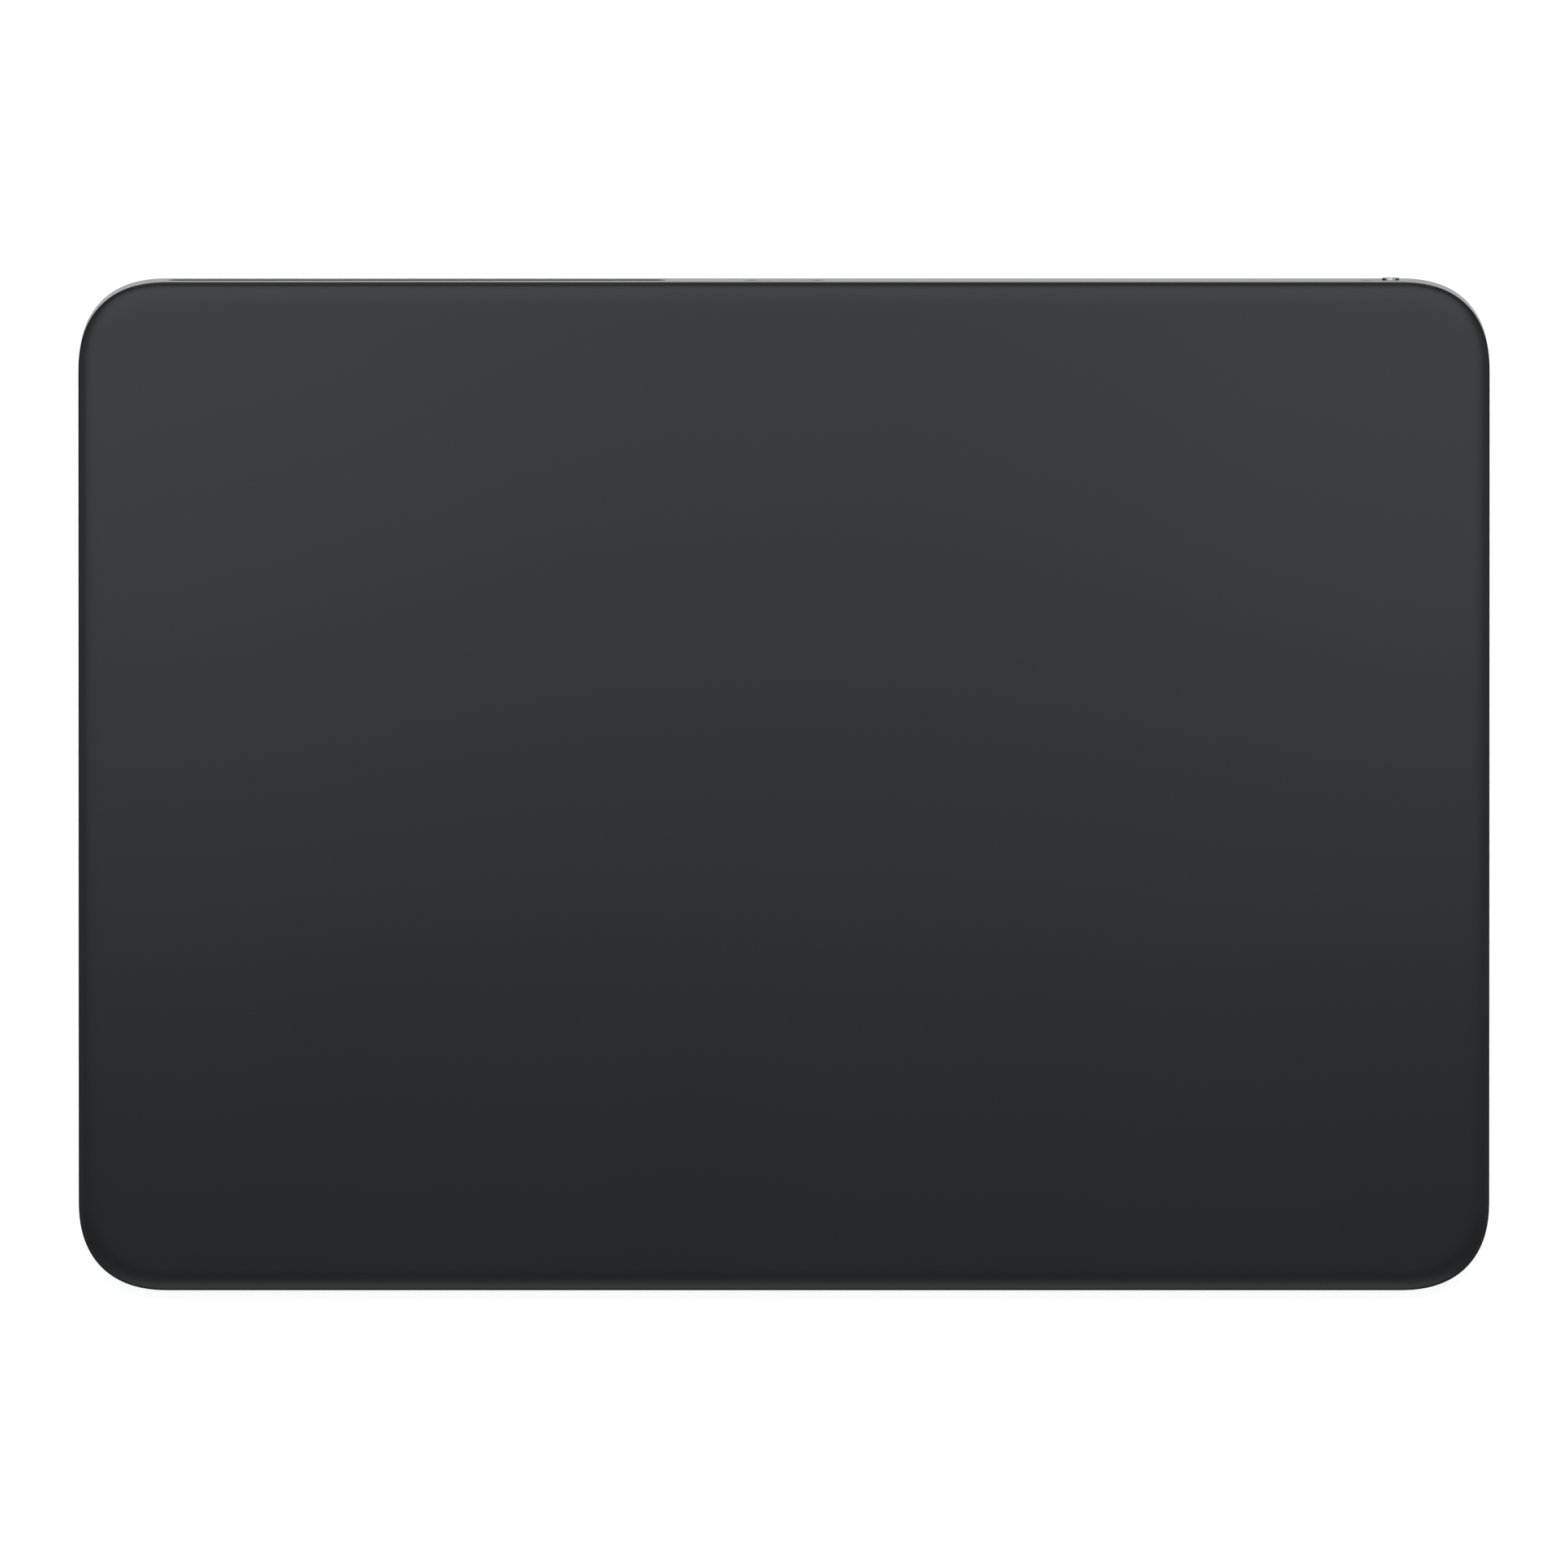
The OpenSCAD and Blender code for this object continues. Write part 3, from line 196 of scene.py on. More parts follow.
def pill(name, length, height, middle_x, depth, stations):
    """Closed mesh along the slope through pill-shaped rings, each at a place and grown by an amount."""
    return loft(name, [pill_ring(length, height, middle_x, depth, v, grow) for v, grow in stations])


def linear(colour):
    """Linear colour of an sRGB hex value."""
    parts = [int(colour[i:i + 2], 16) / 255 for i in (1, 3, 5)]
    return tuple(p / 12.92 if p <= 0.04045 else ((p + 0.055) / 1.055) ** 2.4 for p in parts) + (1.0,)


def add(tree, kind, inputs, **settings):
    """Adds a node with its settings, and sets or links its inputs."""
    node = tree.nodes.new(kind)
    for name, value in settings.items():
        setattr(node, name, value)
    for name, value in inputs.items():
        if isinstance(value, bpy.types.NodeSocket):
            tree.links.new(value, node.inputs[name])
        else:
            node.inputs[name].default_value = value
    return node


def new_material(name):
    """Empty node material, its tree, and Object coordinates in millimetres."""
    material = bpy.data.materials.new(name)
    material.use_nodes = True
    tree = material.node_tree
    tree.nodes.clear()
    place = add(tree, "ShaderNodeTexCoord", {})
    scaled = add(tree, "ShaderNodeMapping", {"Vector": place.outputs["Object"], "Scale": (1 / MM,) * 3})
    return material, tree, scaled.outputs["Vector"]


def finish_material(tree, shader):
    """Joins a shader to the material's output."""
    add(tree, "ShaderNodeOutputMaterial", {"Surface": shader.outputs[0]})


# Middle line of the rear side, on which the antenna window, the port and the switch lie
REAR_LINE = (REAR_H - BASE_Z) / math.cos(TILT) / 2
FEATURE_FROM_SIDE = 10.15
WINDOW_L = 56.4
WINDOW_H = 3.2
WINDOW_X = -(BODY_W / 2 - FEATURE_FROM_SIDE - WINDOW_L / 2)
WINDOW_SEAM = 0.03
PORT_W = 8.94
PORT_H = 3.26
PORT_GAP = 0.12
SLOT_L = 4.5
SLOT_H = 2.2
SLOT_X = BODY_W / 2 - FEATURE_FROM_SIDE - SLOT_L / 2
OUTSIDE = 1.0
MOUTH_BREAK = 0.02
MOUTH_EASE = 0.01

# The solid wedge: recess for the bottom cover, rounded lower edge, leaning wall and chamfered rim. Rings
# that lie a few edge breaks off an edge keep the flats beside it flat
turn = np.radians(np.linspace(90, 0, 9))
wedge = loft("wedge", [
    base_ring(COVER_INSET, BASE_Z + COVER_RECESS),
    base_ring(COVER_INSET, BASE_Z + EDGE_BREAK),
    base_ring(COVER_INSET - EDGE_BREAK, BASE_Z),
    base_ring(COVER_INSET - 5 * EDGE_BREAK, BASE_Z),
    wall_ring(BOTTOM_ROUND + 3 * EDGE_BREAK, BASE_Z),
    *[wall_ring(BOTTOM_ROUND * (1 - math.cos(a)), BASE_Z + BOTTOM_ROUND * (1 - math.sin(a))) for a in turn],
    wall_ring(0, BASE_Z + BOTTOM_ROUND + 3 * EDGE_BREAK),
    rim_ring(0, RIM_DEPTH + RIM_CHAMFER + EDGE_BREAK),
    rim_ring(EDGE_BREAK / 3, RIM_DEPTH + RIM_CHAMFER),
    rim_ring(RIM_CHAMFER, RIM_DEPTH + EDGE_BREAK / 3),
    rim_ring(RIM_CHAMFER + EDGE_BREAK, RIM_DEPTH),
])

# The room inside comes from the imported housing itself: a core that ends in mid-wall, less its metal
metal = frame["nodes"]["housing"].data.copy()
tidy(metal, merge=1e-6)
core = loft("core", [
    wall_ring(WALL_T / 2, BASE_Z + COVER_RECESS - EDGE_BREAK),
    rim_ring(WALL_T / 2, -OUTSIDE)])
room = combine(core, [metal], "DIFFERENCE")
mid_wall = REAR_FACE - WALL_T / 2 - EDGE_BREAK
flared = [
    (mid_wall, MOUTH_EASE),
    (REAR_FACE - MOUTH_BREAK, MOUTH_EASE),
    (REAR_FACE + OUTSIDE, MOUTH_BREAK + OUTSIDE)]
mouths = [
    pill("window_mouth", WINDOW_L, WINDOW_H, WINDOW_X, REAR_LINE,
         [(mid_wall, WINDOW_SEAM), (REAR_FACE + OUTSIDE, WINDOW_SEAM)]),
    pill("port_mouth", PORT_W + 2 * PORT_GAP, PORT_H + 2 * PORT_GAP, 0, REAR_LINE, flared),
    pill("slot_mouth", SLOT_L, SLOT_H, SLOT_X, REAR_LINE, flared),
]
housing = new_piece("housing_shell", combine(wedge, [room, *mouths], "DIFFERENCE"))


def true_wall(mesh, slack=0.06, turn=15, tiny=1e-9):
    """Gives faces of the outer wall the outline's exact normal, so that they shade evenly round cuts."""
    corners = np.array([loop.vertex_index for loop in mesh.loops])
    points = np.array([vertex.co for vertex in mesh.vertices])[corners] / MM
    counts = [face.loop_total for face in mesh.polygons]
    facing = np.repeat([face.normal for face in mesh.polygons], counts, axis=0)
    v = (points[:, 1] - DECK_Y) * math.cos(TILT) + (points[:, 2] - DECK_Z) * math.sin(TILT)
    across = np.clip((np.abs(points[:, 0]) - BODY_W / 2) / CORNER_REACH + 1, 0, None)
    along = np.clip((np.abs(v) - DECK_D / 2) / CORNER_REACH + 1, 0, None)
    slope = np.stack([np.sign(points[:, 0]) * across ** (CORNER_POWER - 1),
                      np.sign(v) * along ** (CORNER_POWER - 1)], axis=1)
    slope /= np.maximum(np.linalg.norm(slope, axis=1, keepdims=True), tiny)
    exact = np.stack([slope[:, 0], slope[:, 1] * math.cos(TILT), slope[:, 1] * math.sin(TILT)], axis=1)
    on_wall = np.abs(across ** CORNER_POWER + along ** CORNER_POWER - 1) < slack
    on_wall &= np.sum(facing * exact, axis=1) > math.cos(math.radians(turn))
    mesh.normals_split_custom_set(np.where(on_wall[:, None], exact, 0).tolist())


true_wall(housing.data)

# Bead-blasted, clear-anodised aluminium: a soft satin silver with a fine even sparkle. The blasting's
# grain, about 0.05 mm on the real part, is drawn twice as coarse so that it shows
anodised, tree, place = new_material("anodised_aluminium")
grain = add(tree, "ShaderNodeTexNoise", {"Vector": place, "Scale": 1 / BLAST_GRAIN, "Detail": 2.0})
cloud = add(tree, "ShaderNodeTexNoise", {"Vector": place, "Scale": 1 / CLOUD_SIZE, "Detail": 1.0})
gloss = add(tree, "ShaderNodeMapRange", {"Value": grain.outputs["Fac"], "To Min": 0.34, "To Max": 0.46})
tone = add(tree, "ShaderNodeMapRange", {"Value": cloud.outputs["Fac"], "To Min": 0.97, "To Max": 1.02})
shade = add(tree, "ShaderNodeMix", {"Factor": 1.0, "A": linear(ALUMINIUM), "B": tone.outputs[0]},
            data_type="RGBA", blend_type="MULTIPLY")
dents = add(tree, "ShaderNodeBump", {
    "Height": grain.outputs["Fac"], "Strength": 0.12, "Distance": 0.02 * MM})
finish_material(tree, add(tree, "ShaderNodeBsdfPrincipled", {
    "Base Color": shade.outputs[2], "Metallic": 1.0, "Roughness": gloss.outputs[0],
    "Specular Tint": linear(FILM_TINT), "Normal": dents.outputs["Normal"]}))
housing.data.materials.clear()
housing.data.materials.append(anodised)
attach(housing, "housing")
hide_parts("housing")

# Antenna window: a plug of glass-filled nylon, moulded in dark grey so that the radio passes through the
# metal. It fills its slot flush with the rear wall, and a flange behind the wall is glued to it.
WINDOW_FLANGE_T = 0.8
WINDOW_LAP = 1.0
WINDOW_BREAK = 0.05
WINDOW_GREY = "#26272a"
DRIFT_SIZE = 9.0
REAR_INSIDE = REAR_FACE - WALL_T
window = new_piece("antenna_window_plug", pill("window_plug", WINDOW_L, WINDOW_H, WINDOW_X, REAR_LINE, [
    (REAR_INSIDE - WINDOW_FLANGE_T, WINDOW_LAP), (REAR_INSIDE, WINDOW_LAP), (REAR_INSIDE, 0),
    (REAR_FACE - WINDOW_BREAK, 0), (REAR_FACE, -WINDOW_BREAK)]))


def moulded(name, colour, roughness, grain, relief, gloss=0.5, spread=0.06):
    """Moulded polymer: an even colour that drifts a little, under the fine pitted skin of its tool."""
    material, tree, place = new_material(name)
    pits = add(tree, "ShaderNodeTexNoise", {"Vector": place, "Scale": 1 / grain, "Detail": 3.0})
    drift = add(tree, "ShaderNodeTexNoise", {"Vector": place, "Scale": 1 / DRIFT_SIZE, "Detail": 1.0})
    tone = add(tree, "ShaderNodeMapRange", {"Value": drift.outputs["Fac"], "To Min": 0.97, "To Max": 1.02})
    shade = add(tree, "ShaderNodeMix", {"Factor": 1.0, "A": linear(colour), "B": tone.outputs[0]},
                data_type="RGBA", blend_type="MULTIPLY")
    sheen = add(tree, "ShaderNodeMapRange", {
        "Value": pits.outputs["Fac"], "To Min": roughness - spread, "To Max": roughness + spread})
    skin = add(tree, "ShaderNodeBump", {
        "Height": pits.outputs["Fac"], "Strength": 0.5, "Distance": relief * MM})
    finish_material(tree, add(tree, "ShaderNodeBsdfPrincipled", {
        "Base Color": shade.outputs[2], "Roughness": sheen.outputs[0], "Specular IOR Level": gloss,
        "Normal": skin.outputs["Normal"]}))
    return material


# Spark-eroded tool skin on dark nylon: matt, with pits of about 0.1 mm
window.data.materials.append(moulded("dark_nylon", WINDOW_GREY, 0.82, 0.1, 0.01, gloss=0.04))
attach(window, "housing")
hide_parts("antenna_window")

# Charging port: a drawn tube of bright steel, set just behind the wall, with ears soldered to the board.
# Its lip is rolled inwards, and the tube is closed at the back by the moulded tongue's block.
PORT_RECESS = 0.3
PORT_L = 7.35
PORT_WALL = 0.3
PORT_LIP = 0.1
LIP_STEPS = np.radians([0, 30, 60, 90])
EAR = (1.6, 1.8, 0.25)
EAR_BACK = 0.5
BOARD_T = 0.8
port_mouth = REAR_FACE - PORT_RECESS
port_back = port_mouth - PORT_L
lip = [(port_mouth - PORT_LIP * (1 - math.sin(a)), PORT_LIP * (math.cos(a) - 1)) for a in LIP_STEPS]
rolled_in = [(v, -PORT_WALL - grow) for v, grow in reversed(lip)]
tube = pill("port_tube", PORT_W, PORT_H, 0, REAR_LINE, [
    (port_back, -PORT_LIP), (port_back + PORT_LIP, 0), *lip,
    *rolled_in, (port_back + PORT_WALL, -PORT_WALL)])


def deck_block(name, middle, size, top):
    """Closed block with softened corners on the deck: its middle, its size, and its top's height."""
    reach = min(size[:2]) / 5
    points = outline(size[0], size[1], reach, steps=4) + middle
    heights = (top, top - size[2])
    return loft(name, [deck(points[:, 0], points[:, 1], w) for w in heights])


ear_top = BOARD_T / 2 + EAR[2] - REAR_LINE
ear_x = PORT_W / 2 + EAR[0] / 2 - PORT_LIP
ear_v = port_back + EAR_BACK + EAR[1] / 2
ears = [deck_block("ear", (sx * ear_x, ear_v), EAR, ear_top) for sx in (-1, 1)]
port = new_piece("port_tube", combine(tube, ears, "UNION"))


def rolled(name, colour, roughness, line, along, length=40, spread=0.08):
    """Sheet metal: fine lines from the rolls or the grinding belt, many times longer than wide."""
    material, tree, place = new_material(name)
    stretch = [1 / line] * 3
    stretch[along] = 1 / (length * line)
    drawn = add(tree, "ShaderNodeMapping", {"Vector": place, "Scale": stretch})
    lines = add(tree, "ShaderNodeTexNoise", {
        "Vector": drawn.outputs["Vector"], "Scale": 1.0, "Detail": 2.0})
    tone = add(tree, "ShaderNodeMapRange", {"Value": lines.outputs["Fac"], "To Min": 0.9, "To Max": 1.06})
    shade = add(tree, "ShaderNodeMix", {"Factor": 1.0, "A": linear(colour), "B": tone.outputs[0]},
                data_type="RGBA", blend_type="MULTIPLY")
    sheen = add(tree, "ShaderNodeMapRange", {
        "Value": lines.outputs["Fac"], "To Min": roughness - spread, "To Max": roughness + spread})
    ridges = add(tree, "ShaderNodeBump", {
        "Height": lines.outputs["Fac"], "Strength": 0.3, "Distance": 0.004 * MM})
    finish_material(tree, add(tree, "ShaderNodeBsdfPrincipled", {
        "Base Color": shade.outputs[2], "Metallic": 1.0, "Roughness": sheen.outputs[0],
        "Normal": ridges.outputs["Normal"]}))
    return material


# Tinned steel: bright grey-white, with drawing lines along the tube
tinned = rolled("tinned_steel", "#c2c2bf", 0.28, 0.06, 1)
port.data.materials.append(tinned)
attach(port, "housing")
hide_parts("port_shell")

# Tongue of the port: black glass-filled polymer, moulded in one with the block that plugs the tube's
# back. It carries the contacts on both faces, and its nose is rounded to lead a plug in.
TONGUE_W = 6.69
TONGUE_T = 0.7
TONGUE_L = 5.0
TONGUE_NOSE = 0.2
BLOCK_D = 1.2
BLOCK_GAP = 0.05
block_from = port_back + PORT_WALL
tongue_from = block_from + BLOCK_D
tongue_tip = tongue_from + TONGUE_L
block_inset = PORT_WALL + BLOCK_GAP
tongue = new_piece("port_tongue_moulding", loft("tongue", [
    pill_ring(PORT_W, PORT_H, 0, REAR_LINE, block_from, -block_inset),
    pill_ring(PORT_W, PORT_H, 0, REAR_LINE, tongue_from, -block_inset),
    pill_ring(TONGUE_W, TONGUE_T, 0, REAR_LINE, tongue_from),
    pill_ring(TONGUE_W, TONGUE_T, 0, REAR_LINE, tongue_tip - TONGUE_NOSE),
    pill_ring(TONGUE_W, TONGUE_T, 0, REAR_LINE, tongue_tip - TONGUE_NOSE / 3, -TONGUE_NOSE / 3),
    pill_ring(TONGUE_W, TONGUE_T, 0, REAR_LINE, tongue_tip, -TONGUE_NOSE)]))
# Black connector polymer: semi-matt, with the fine skin of a polished tool
black_nylon = moulded("black_nylon", "#1b1b1d", 0.45, 0.07, 0.006)
tongue.data.materials.append(black_nylon)
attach(tongue, "housing")
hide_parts("port_tongue")

# Contacts of the port: stamped copper-alloy strips, gold-plated, laid on both faces of the tongue. One
# strip is drawn, and a grid of two rows repeats it.
CONTACT_COUNT = 12
CONTACT_PITCH = 0.5
CONTACT = (0.25, 3.6, 0.06)
CONTACT_ROUND = 0.02
CONTACT_NOSE = 0.05
NOSE_SHARE = 0.6
strip_ring = outline(CONTACT[0], CONTACT[2], CONTACT_ROUND, steps=2)
strip = loft("contact_strip", [
    np.stack([strip_ring[:, 0] * size, np.full(len(strip_ring), v), strip_ring[:, 1] * size], axis=1) * MM
    for v, size in ((0, 1), (CONTACT[1] - CONTACT_NOSE, 1), (CONTACT[1], NOSE_SHARE))])
strip_source = new_piece("contact_strip", strip)


def scatter(name, source, material, fields, build):
    """Plain mesh of a source repeated by a node tree: fields are its named sizes, build lays the points."""
    tree = bpy.data.node_groups.new(name, "GeometryNodeTree")
    tree.interface.new_socket("Geometry", in_out="OUTPUT", socket_type="NodeSocketGeometry")
    sockets = {field: tree.interface.new_socket(field, in_out="INPUT", socket_type=kind)
               for field, (kind, _) in fields.items()}
    inlet = add(tree, "NodeGroupInput", {})
    points = build(tree, inlet.outputs)
    shape = add(tree, "GeometryNodeObjectInfo", {"Object": source})
    copies = add(tree, "GeometryNodeInstanceOnPoints", {
        "Points": points.outputs[0],
        "Instance": shape.outputs["Geometry"],
        "Rotation": inlet.outputs["Turn"]})
    real = add(tree, "GeometryNodeRealizeInstances", {"Geometry": copies.outputs[0]})
    dressed = add(tree, "GeometryNodeSetMaterial", {"Geometry": real.outputs[0], "Material": material})
    add(tree, "NodeGroupOutput", {"Geometry": dressed.outputs[0]})
    holder = new_piece(name, bpy.data.meshes.new(name))
    step = holder.modifiers.new(name, "NODES")
    step.node_group = tree
    for field, (_, value) in fields.items():
        step[sockets[field].identifier] = value
    result = bpy.data.meshes.new_from_object(holder.evaluated_get(bpy.context.evaluated_depsgraph_get()))
    holder.modifiers.clear()
    holder.data = result
    bpy.data.objects.remove(source)
    tidy(result)
    return holder


def contact_rows(tree, sizes):
    """Two rows of points across the tongue, one row on each face."""
    grid = add(tree, "GeometryNodeMeshGrid", {
        "Size X": sizes["Row"], "Size Y": sizes["Spread"], "Vertices X": sizes["Count"], "Vertices Y": 2})
    return add(tree, "GeometryNodeTransform", {
        "Geometry": grid.outputs["Mesh"], "Translation": sizes["Place"], "Rotation": sizes["Stand"]})


# Gold plate over nickel: warm and bright, with faint stamping lines along each strip
gold = rolled("gold_plate", "#d9b563", 0.22, 0.05, 1)
contacts = scatter("port_contact_strips", strip_source, gold, {
    "Count": ("NodeSocketInt", CONTACT_COUNT),
    "Row": ("NodeSocketFloat", CONTACT_PITCH * (CONTACT_COUNT - 1) * MM),
    "Spread": ("NodeSocketFloat", (TONGUE_T + CONTACT[2]) * MM),
    "Place": ("NodeSocketVector", tuple(deck(0.0, tongue_from, -REAR_LINE))),
    "Stand": ("NodeSocketVector", (TILT + math.pi / 2, 0, 0)),
    "Turn": ("NodeSocketVector", (TILT, 0, 0)),
}, contact_rows)
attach(contacts, "housing")
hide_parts("port_contacts")

# Power switch: a turned aluminium knob with a crowned, polished face. It is pressed into a white slider
# behind the wall, and the slider's printed green patch shows in the slot when the switch is on.
KNOB_D = 1.9
KNOB_PROUD = 0.3
KNOB_CROWN = 0.04
KNOB_ROUND = 0.06
KNOB_FLAT = 0.1
CROWN_STEPS = (1, 0.8, 0.6, 0.4, 0.2, 0.03)
KNOB_EDGE = "#404245"
KNOB_BRIGHT = "#dcdddf"
# Painted shade: the next grey colours the knob's flanks across this share of its radius, standing for the
# dark reflection on its sides
KNOB_PAINTED_SHADE = "#4a4c4f"
SHADED_FLANK = (0.45, 0.65)
TOOL_RING = 0.314
KNOB_END_GAP = 0.1
SLIDER_GAP = 0.15
knob_x = SLOT_X + (SLOT_L - KNOB_D) / 2 - KNOB_END_GAP
knob_tip = REAR_FACE + KNOB_PROUD
knob_shoulder = knob_tip - KNOB_CROWN - KNOB_ROUND
knob_side = KNOB_D / 2


def lathe(name, profile, ring):
    """Closed mesh of revolution through rings of a profile's radii and stations."""
    return loft(name, [ring(radius, station) for radius, station in profile])


def knob_ring(radius, v, count=64):
    """Ring of the knob round its axis, which stands square to the rear wall."""
    angle = np.linspace(0, 2 * math.pi, count, endpoint=False)
    return deck(knob_x + radius * np.cos(angle), v, -REAR_LINE + radius * np.sin(angle))


crown = [(knob_side - KNOB_ROUND) * share for share in CROWN_STEPS]
knob = new_piece("switch_knob_turned", lathe("knob", [
    (knob_side, REAR_INSIDE - SLIDER_GAP),
    (knob_side, knob_shoulder - KNOB_FLAT),
    *[(knob_side - KNOB_ROUND * (1 - math.cos(a)), knob_shoulder + KNOB_ROUND * math.sin(a))
      for a in np.radians(np.linspace(0, 75, 8))],
    *[(r, knob_tip - KNOB_CROWN * (r / knob_side) ** 2) for r in crown]], knob_ring))

# Turned and polished aluminium: bright, with fine tool rings round its axis. They are about 0.05 mm apart
# on the real part, and are drawn wider so that they show. A wave texture runs through 20 radians in each
# unit of its scale, which gives the length of one turn
WAVE_TURN = 2 * math.pi / 20
polished, tree, place = new_material("polished_aluminium")
centred = add(tree, "ShaderNodeMapping", {
    "Vector": place, "Location": (-knob_x, -DECK_V0, REAR_LINE - DECK_W0), "Rotation": (-TILT, 0, 0)})
rings = add(tree, "ShaderNodeTexWave", {
    "Vector": centred.outputs["Vector"], "Scale": WAVE_TURN / TOOL_RING, "Detail": 0.0},
    wave_type="RINGS", rings_direction="Y", wave_profile="SIN")
tool = add(tree, "ShaderNodeBump", {
    "Height": rings.outputs["Fac"], "Strength": 0.15, "Distance": 0.003 * MM})
shine = add(tree, "ShaderNodeMapRange", {"Value": rings.outputs["Fac"], "To Min": 0.16, "To Max": 0.24})
# The flanks behind the polished face, which a fingernail pushes, carry painted shade: a darker grey that
# stands for the dark reflection on the knob's sides
spot = add(tree, "ShaderNodeSeparateXYZ", {"Vector": centred.outputs["Vector"]})
off_axis = add(tree, "ShaderNodeMath", {0: spot.outputs["X"]}, operation="ABSOLUTE")
shaded_flank = add(tree, "ShaderNodeMapRange", {
    "Value": off_axis.outputs[0], "From Min": SHADED_FLANK[0] * knob_side, "From Max": SHADED_FLANK[1] * knob_side})
behind = add(tree, "ShaderNodeMapRange", {
    "Value": spot.outputs["Y"], "From Min": knob_tip - KNOB_CROWN, "From Max": knob_shoulder})
# The painted shade lies where both masks meet, and is mixed into the knob's colour
painted_shade = add(tree, "ShaderNodeMath", {0: shaded_flank.outputs[0], 1: behind.outputs[0]}, operation="MULTIPLY")
bright = add(tree, "ShaderNodeMix", {
    "Factor": painted_shade.outputs[0], "A": linear(KNOB_BRIGHT), "B": linear(KNOB_PAINTED_SHADE)}, data_type="RGBA")
finish_material(tree, add(tree, "ShaderNodeBsdfPrincipled", {
    "Base Color": bright.outputs[2], "Metallic": 1.0, "Roughness": shine.outputs[0],
    "Specular Tint": linear(KNOB_EDGE), "Normal": tool.outputs["Normal"]}))
knob.data.materials.append(polished)
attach(knob, "power_switch")
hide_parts("switch_knob")


def dress(material, slot):
    """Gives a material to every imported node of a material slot."""
    for part in frame["record"]["subparts"]:
        if part["material_slot"] == slot:
            for held in frame["nodes"][part["node"]].material_slots:
                held.material = material


# White acetal slider: waxy and semi-matt. The patch is a thin coat of green lacquer, a little orange-peeled
dress(moulded("white_acetal", "#e4e4e2", 0.4, 0.12, 0.008), "white_acetal")
dress(moulded("green_lacquer", "#4fbf5c", 0.3, 0.3, 0.004), "green_lacquer")

# Boards: black-green laminate of glass cloth and epoxy under a coat of solder mask. The copper runs below
# the mask show as faint lines, and the cloth as a fine even weave.
TRACK_L = 13.0
TRACK_PITCH = 0.55
TRACK_W = 0.07
CLOTH_SIZE = 0.792
mask, tree, place = new_material("solder_mask_laminate")
tracks = add(tree, "ShaderNodeTexBrick", {
    "Vector": place, "Color1": linear("#16402d"), "Color2": linear("#143b2a"), "Mortar": linear("#1c4e38"),
    "Scale": 1.0, "Mortar Size": TRACK_W, "Mortar Smooth": 0.2,
    "Brick Width": TRACK_L, "Row Height": TRACK_PITCH},
    offset=0.37, offset_frequency=3, squash=0.45, squash_frequency=4)
cloth = add(tree, "ShaderNodeTexWave", {
    "Vector": place, "Scale": WAVE_TURN / CLOTH_SIZE, "Distortion": 0.6}, bands_direction="DIAGONAL")
relief = add(tree, "ShaderNodeMix", {"Factor": 0.3, "A": tracks.outputs["Fac"], "B": cloth.outputs["Fac"]})
raised = add(tree, "ShaderNodeBump", {"Height": relief.outputs[0], "Strength": 0.4, "Distance": 0.02 * MM})
finish_material(tree, add(tree, "ShaderNodeBsdfPrincipled", {
    "Base Color": tracks.outputs["Color"], "Roughness": 0.38, "Normal": raised.outputs["Normal"]}))
dress(mask, "circuit_board")

# What the boards carry: black chips of filled epoxy, fired ceramic capacitors, ivory nylon connectors and
# the antenna's carrier, and a black switch body. The can over the radio, the brackets and the battery's
# tabs are pressed from tinned steel.
dress(moulded("chip_epoxy", "#232325", 0.55, 0.06, 0.006), "chip_epoxy")
dress(moulded("fired_ceramic", "#a98a63", 0.4, 0.05, 0.004), "ceramic")
dress(moulded("ivory_nylon", "#d8d1b8", 0.42, 0.09, 0.008), "ivory_nylon")
dress(black_nylon, "black_nylon")
dress(tinned, "tinned_steel")

# Ribbons: amber polyimide film with copper runs etched side by side, which show through as darker bands.
# The touch plate's ribbon hangs in a loose bend from the plug under the plate to its socket on the main
# board. It is made in two lengths, which meet at the middle of the bend.
RIBBON_X = 30.0
RIBBON_W = 11.0
RIBBON_T = 0.12
RIBBON_ROUND = 0.04
RIBBON_CUT = 0.01
BEND_STEPS = 25
RUN_PITCH = 0.99
PLUG_V = (24.35, 27.75)
SOCKET_V = (31.45, 34.85)
PLUG_DEPTH = 2.71
SOCKET_DEPTH = 3.847
bend_l = SOCKET_V[0] - PLUG_V[1]
bend_drop = SOCKET_DEPTH - PLUG_DEPTH
bend_v = np.linspace(PLUG_V[1], SOCKET_V[0], BEND_STEPS)
half_v = PLUG_V[1] + bend_l / 2


def ribbon_ring(v):
    """Ring square across the ribbon at a place on its way from the plug to the socket."""
    part = min(max((v - PLUG_V[1]) / bend_l, 0), 1) * math.pi
    depth = PLUG_DEPTH + bend_drop * (1 - math.cos(part)) / 2
    lean = math.atan(bend_drop * math.pi / 2 * math.sin(part) / bend_l)
    across, thick = outline(RIBBON_W, RIBBON_T, RIBBON_ROUND, steps=2).T
    return deck(RIBBON_X + across, v + thick * math.sin(lean), thick * math.cos(lean) - depth)


def ribbon_length(name, stations):
    """One length of the ribbon through places on its way."""
    return new_piece(name, loft(name, [ribbon_ring(v) for v in stations]))


def bend_point(v):
    """World point on the ribbon's bend, as plain numbers."""
    return tuple(deck(RIBBON_X, v, -PLUG_DEPTH).tolist())


plate_half = ribbon_length("sensor_ribbon_upper", [
    PLUG_V[0], *bend_v[bend_v < half_v], half_v - RIBBON_CUT / 2])
board_half = ribbon_length("sensor_ribbon_lower", [
    half_v + RIBBON_CUT / 2, *bend_v[bend_v > half_v], SOCKET_V[1]])


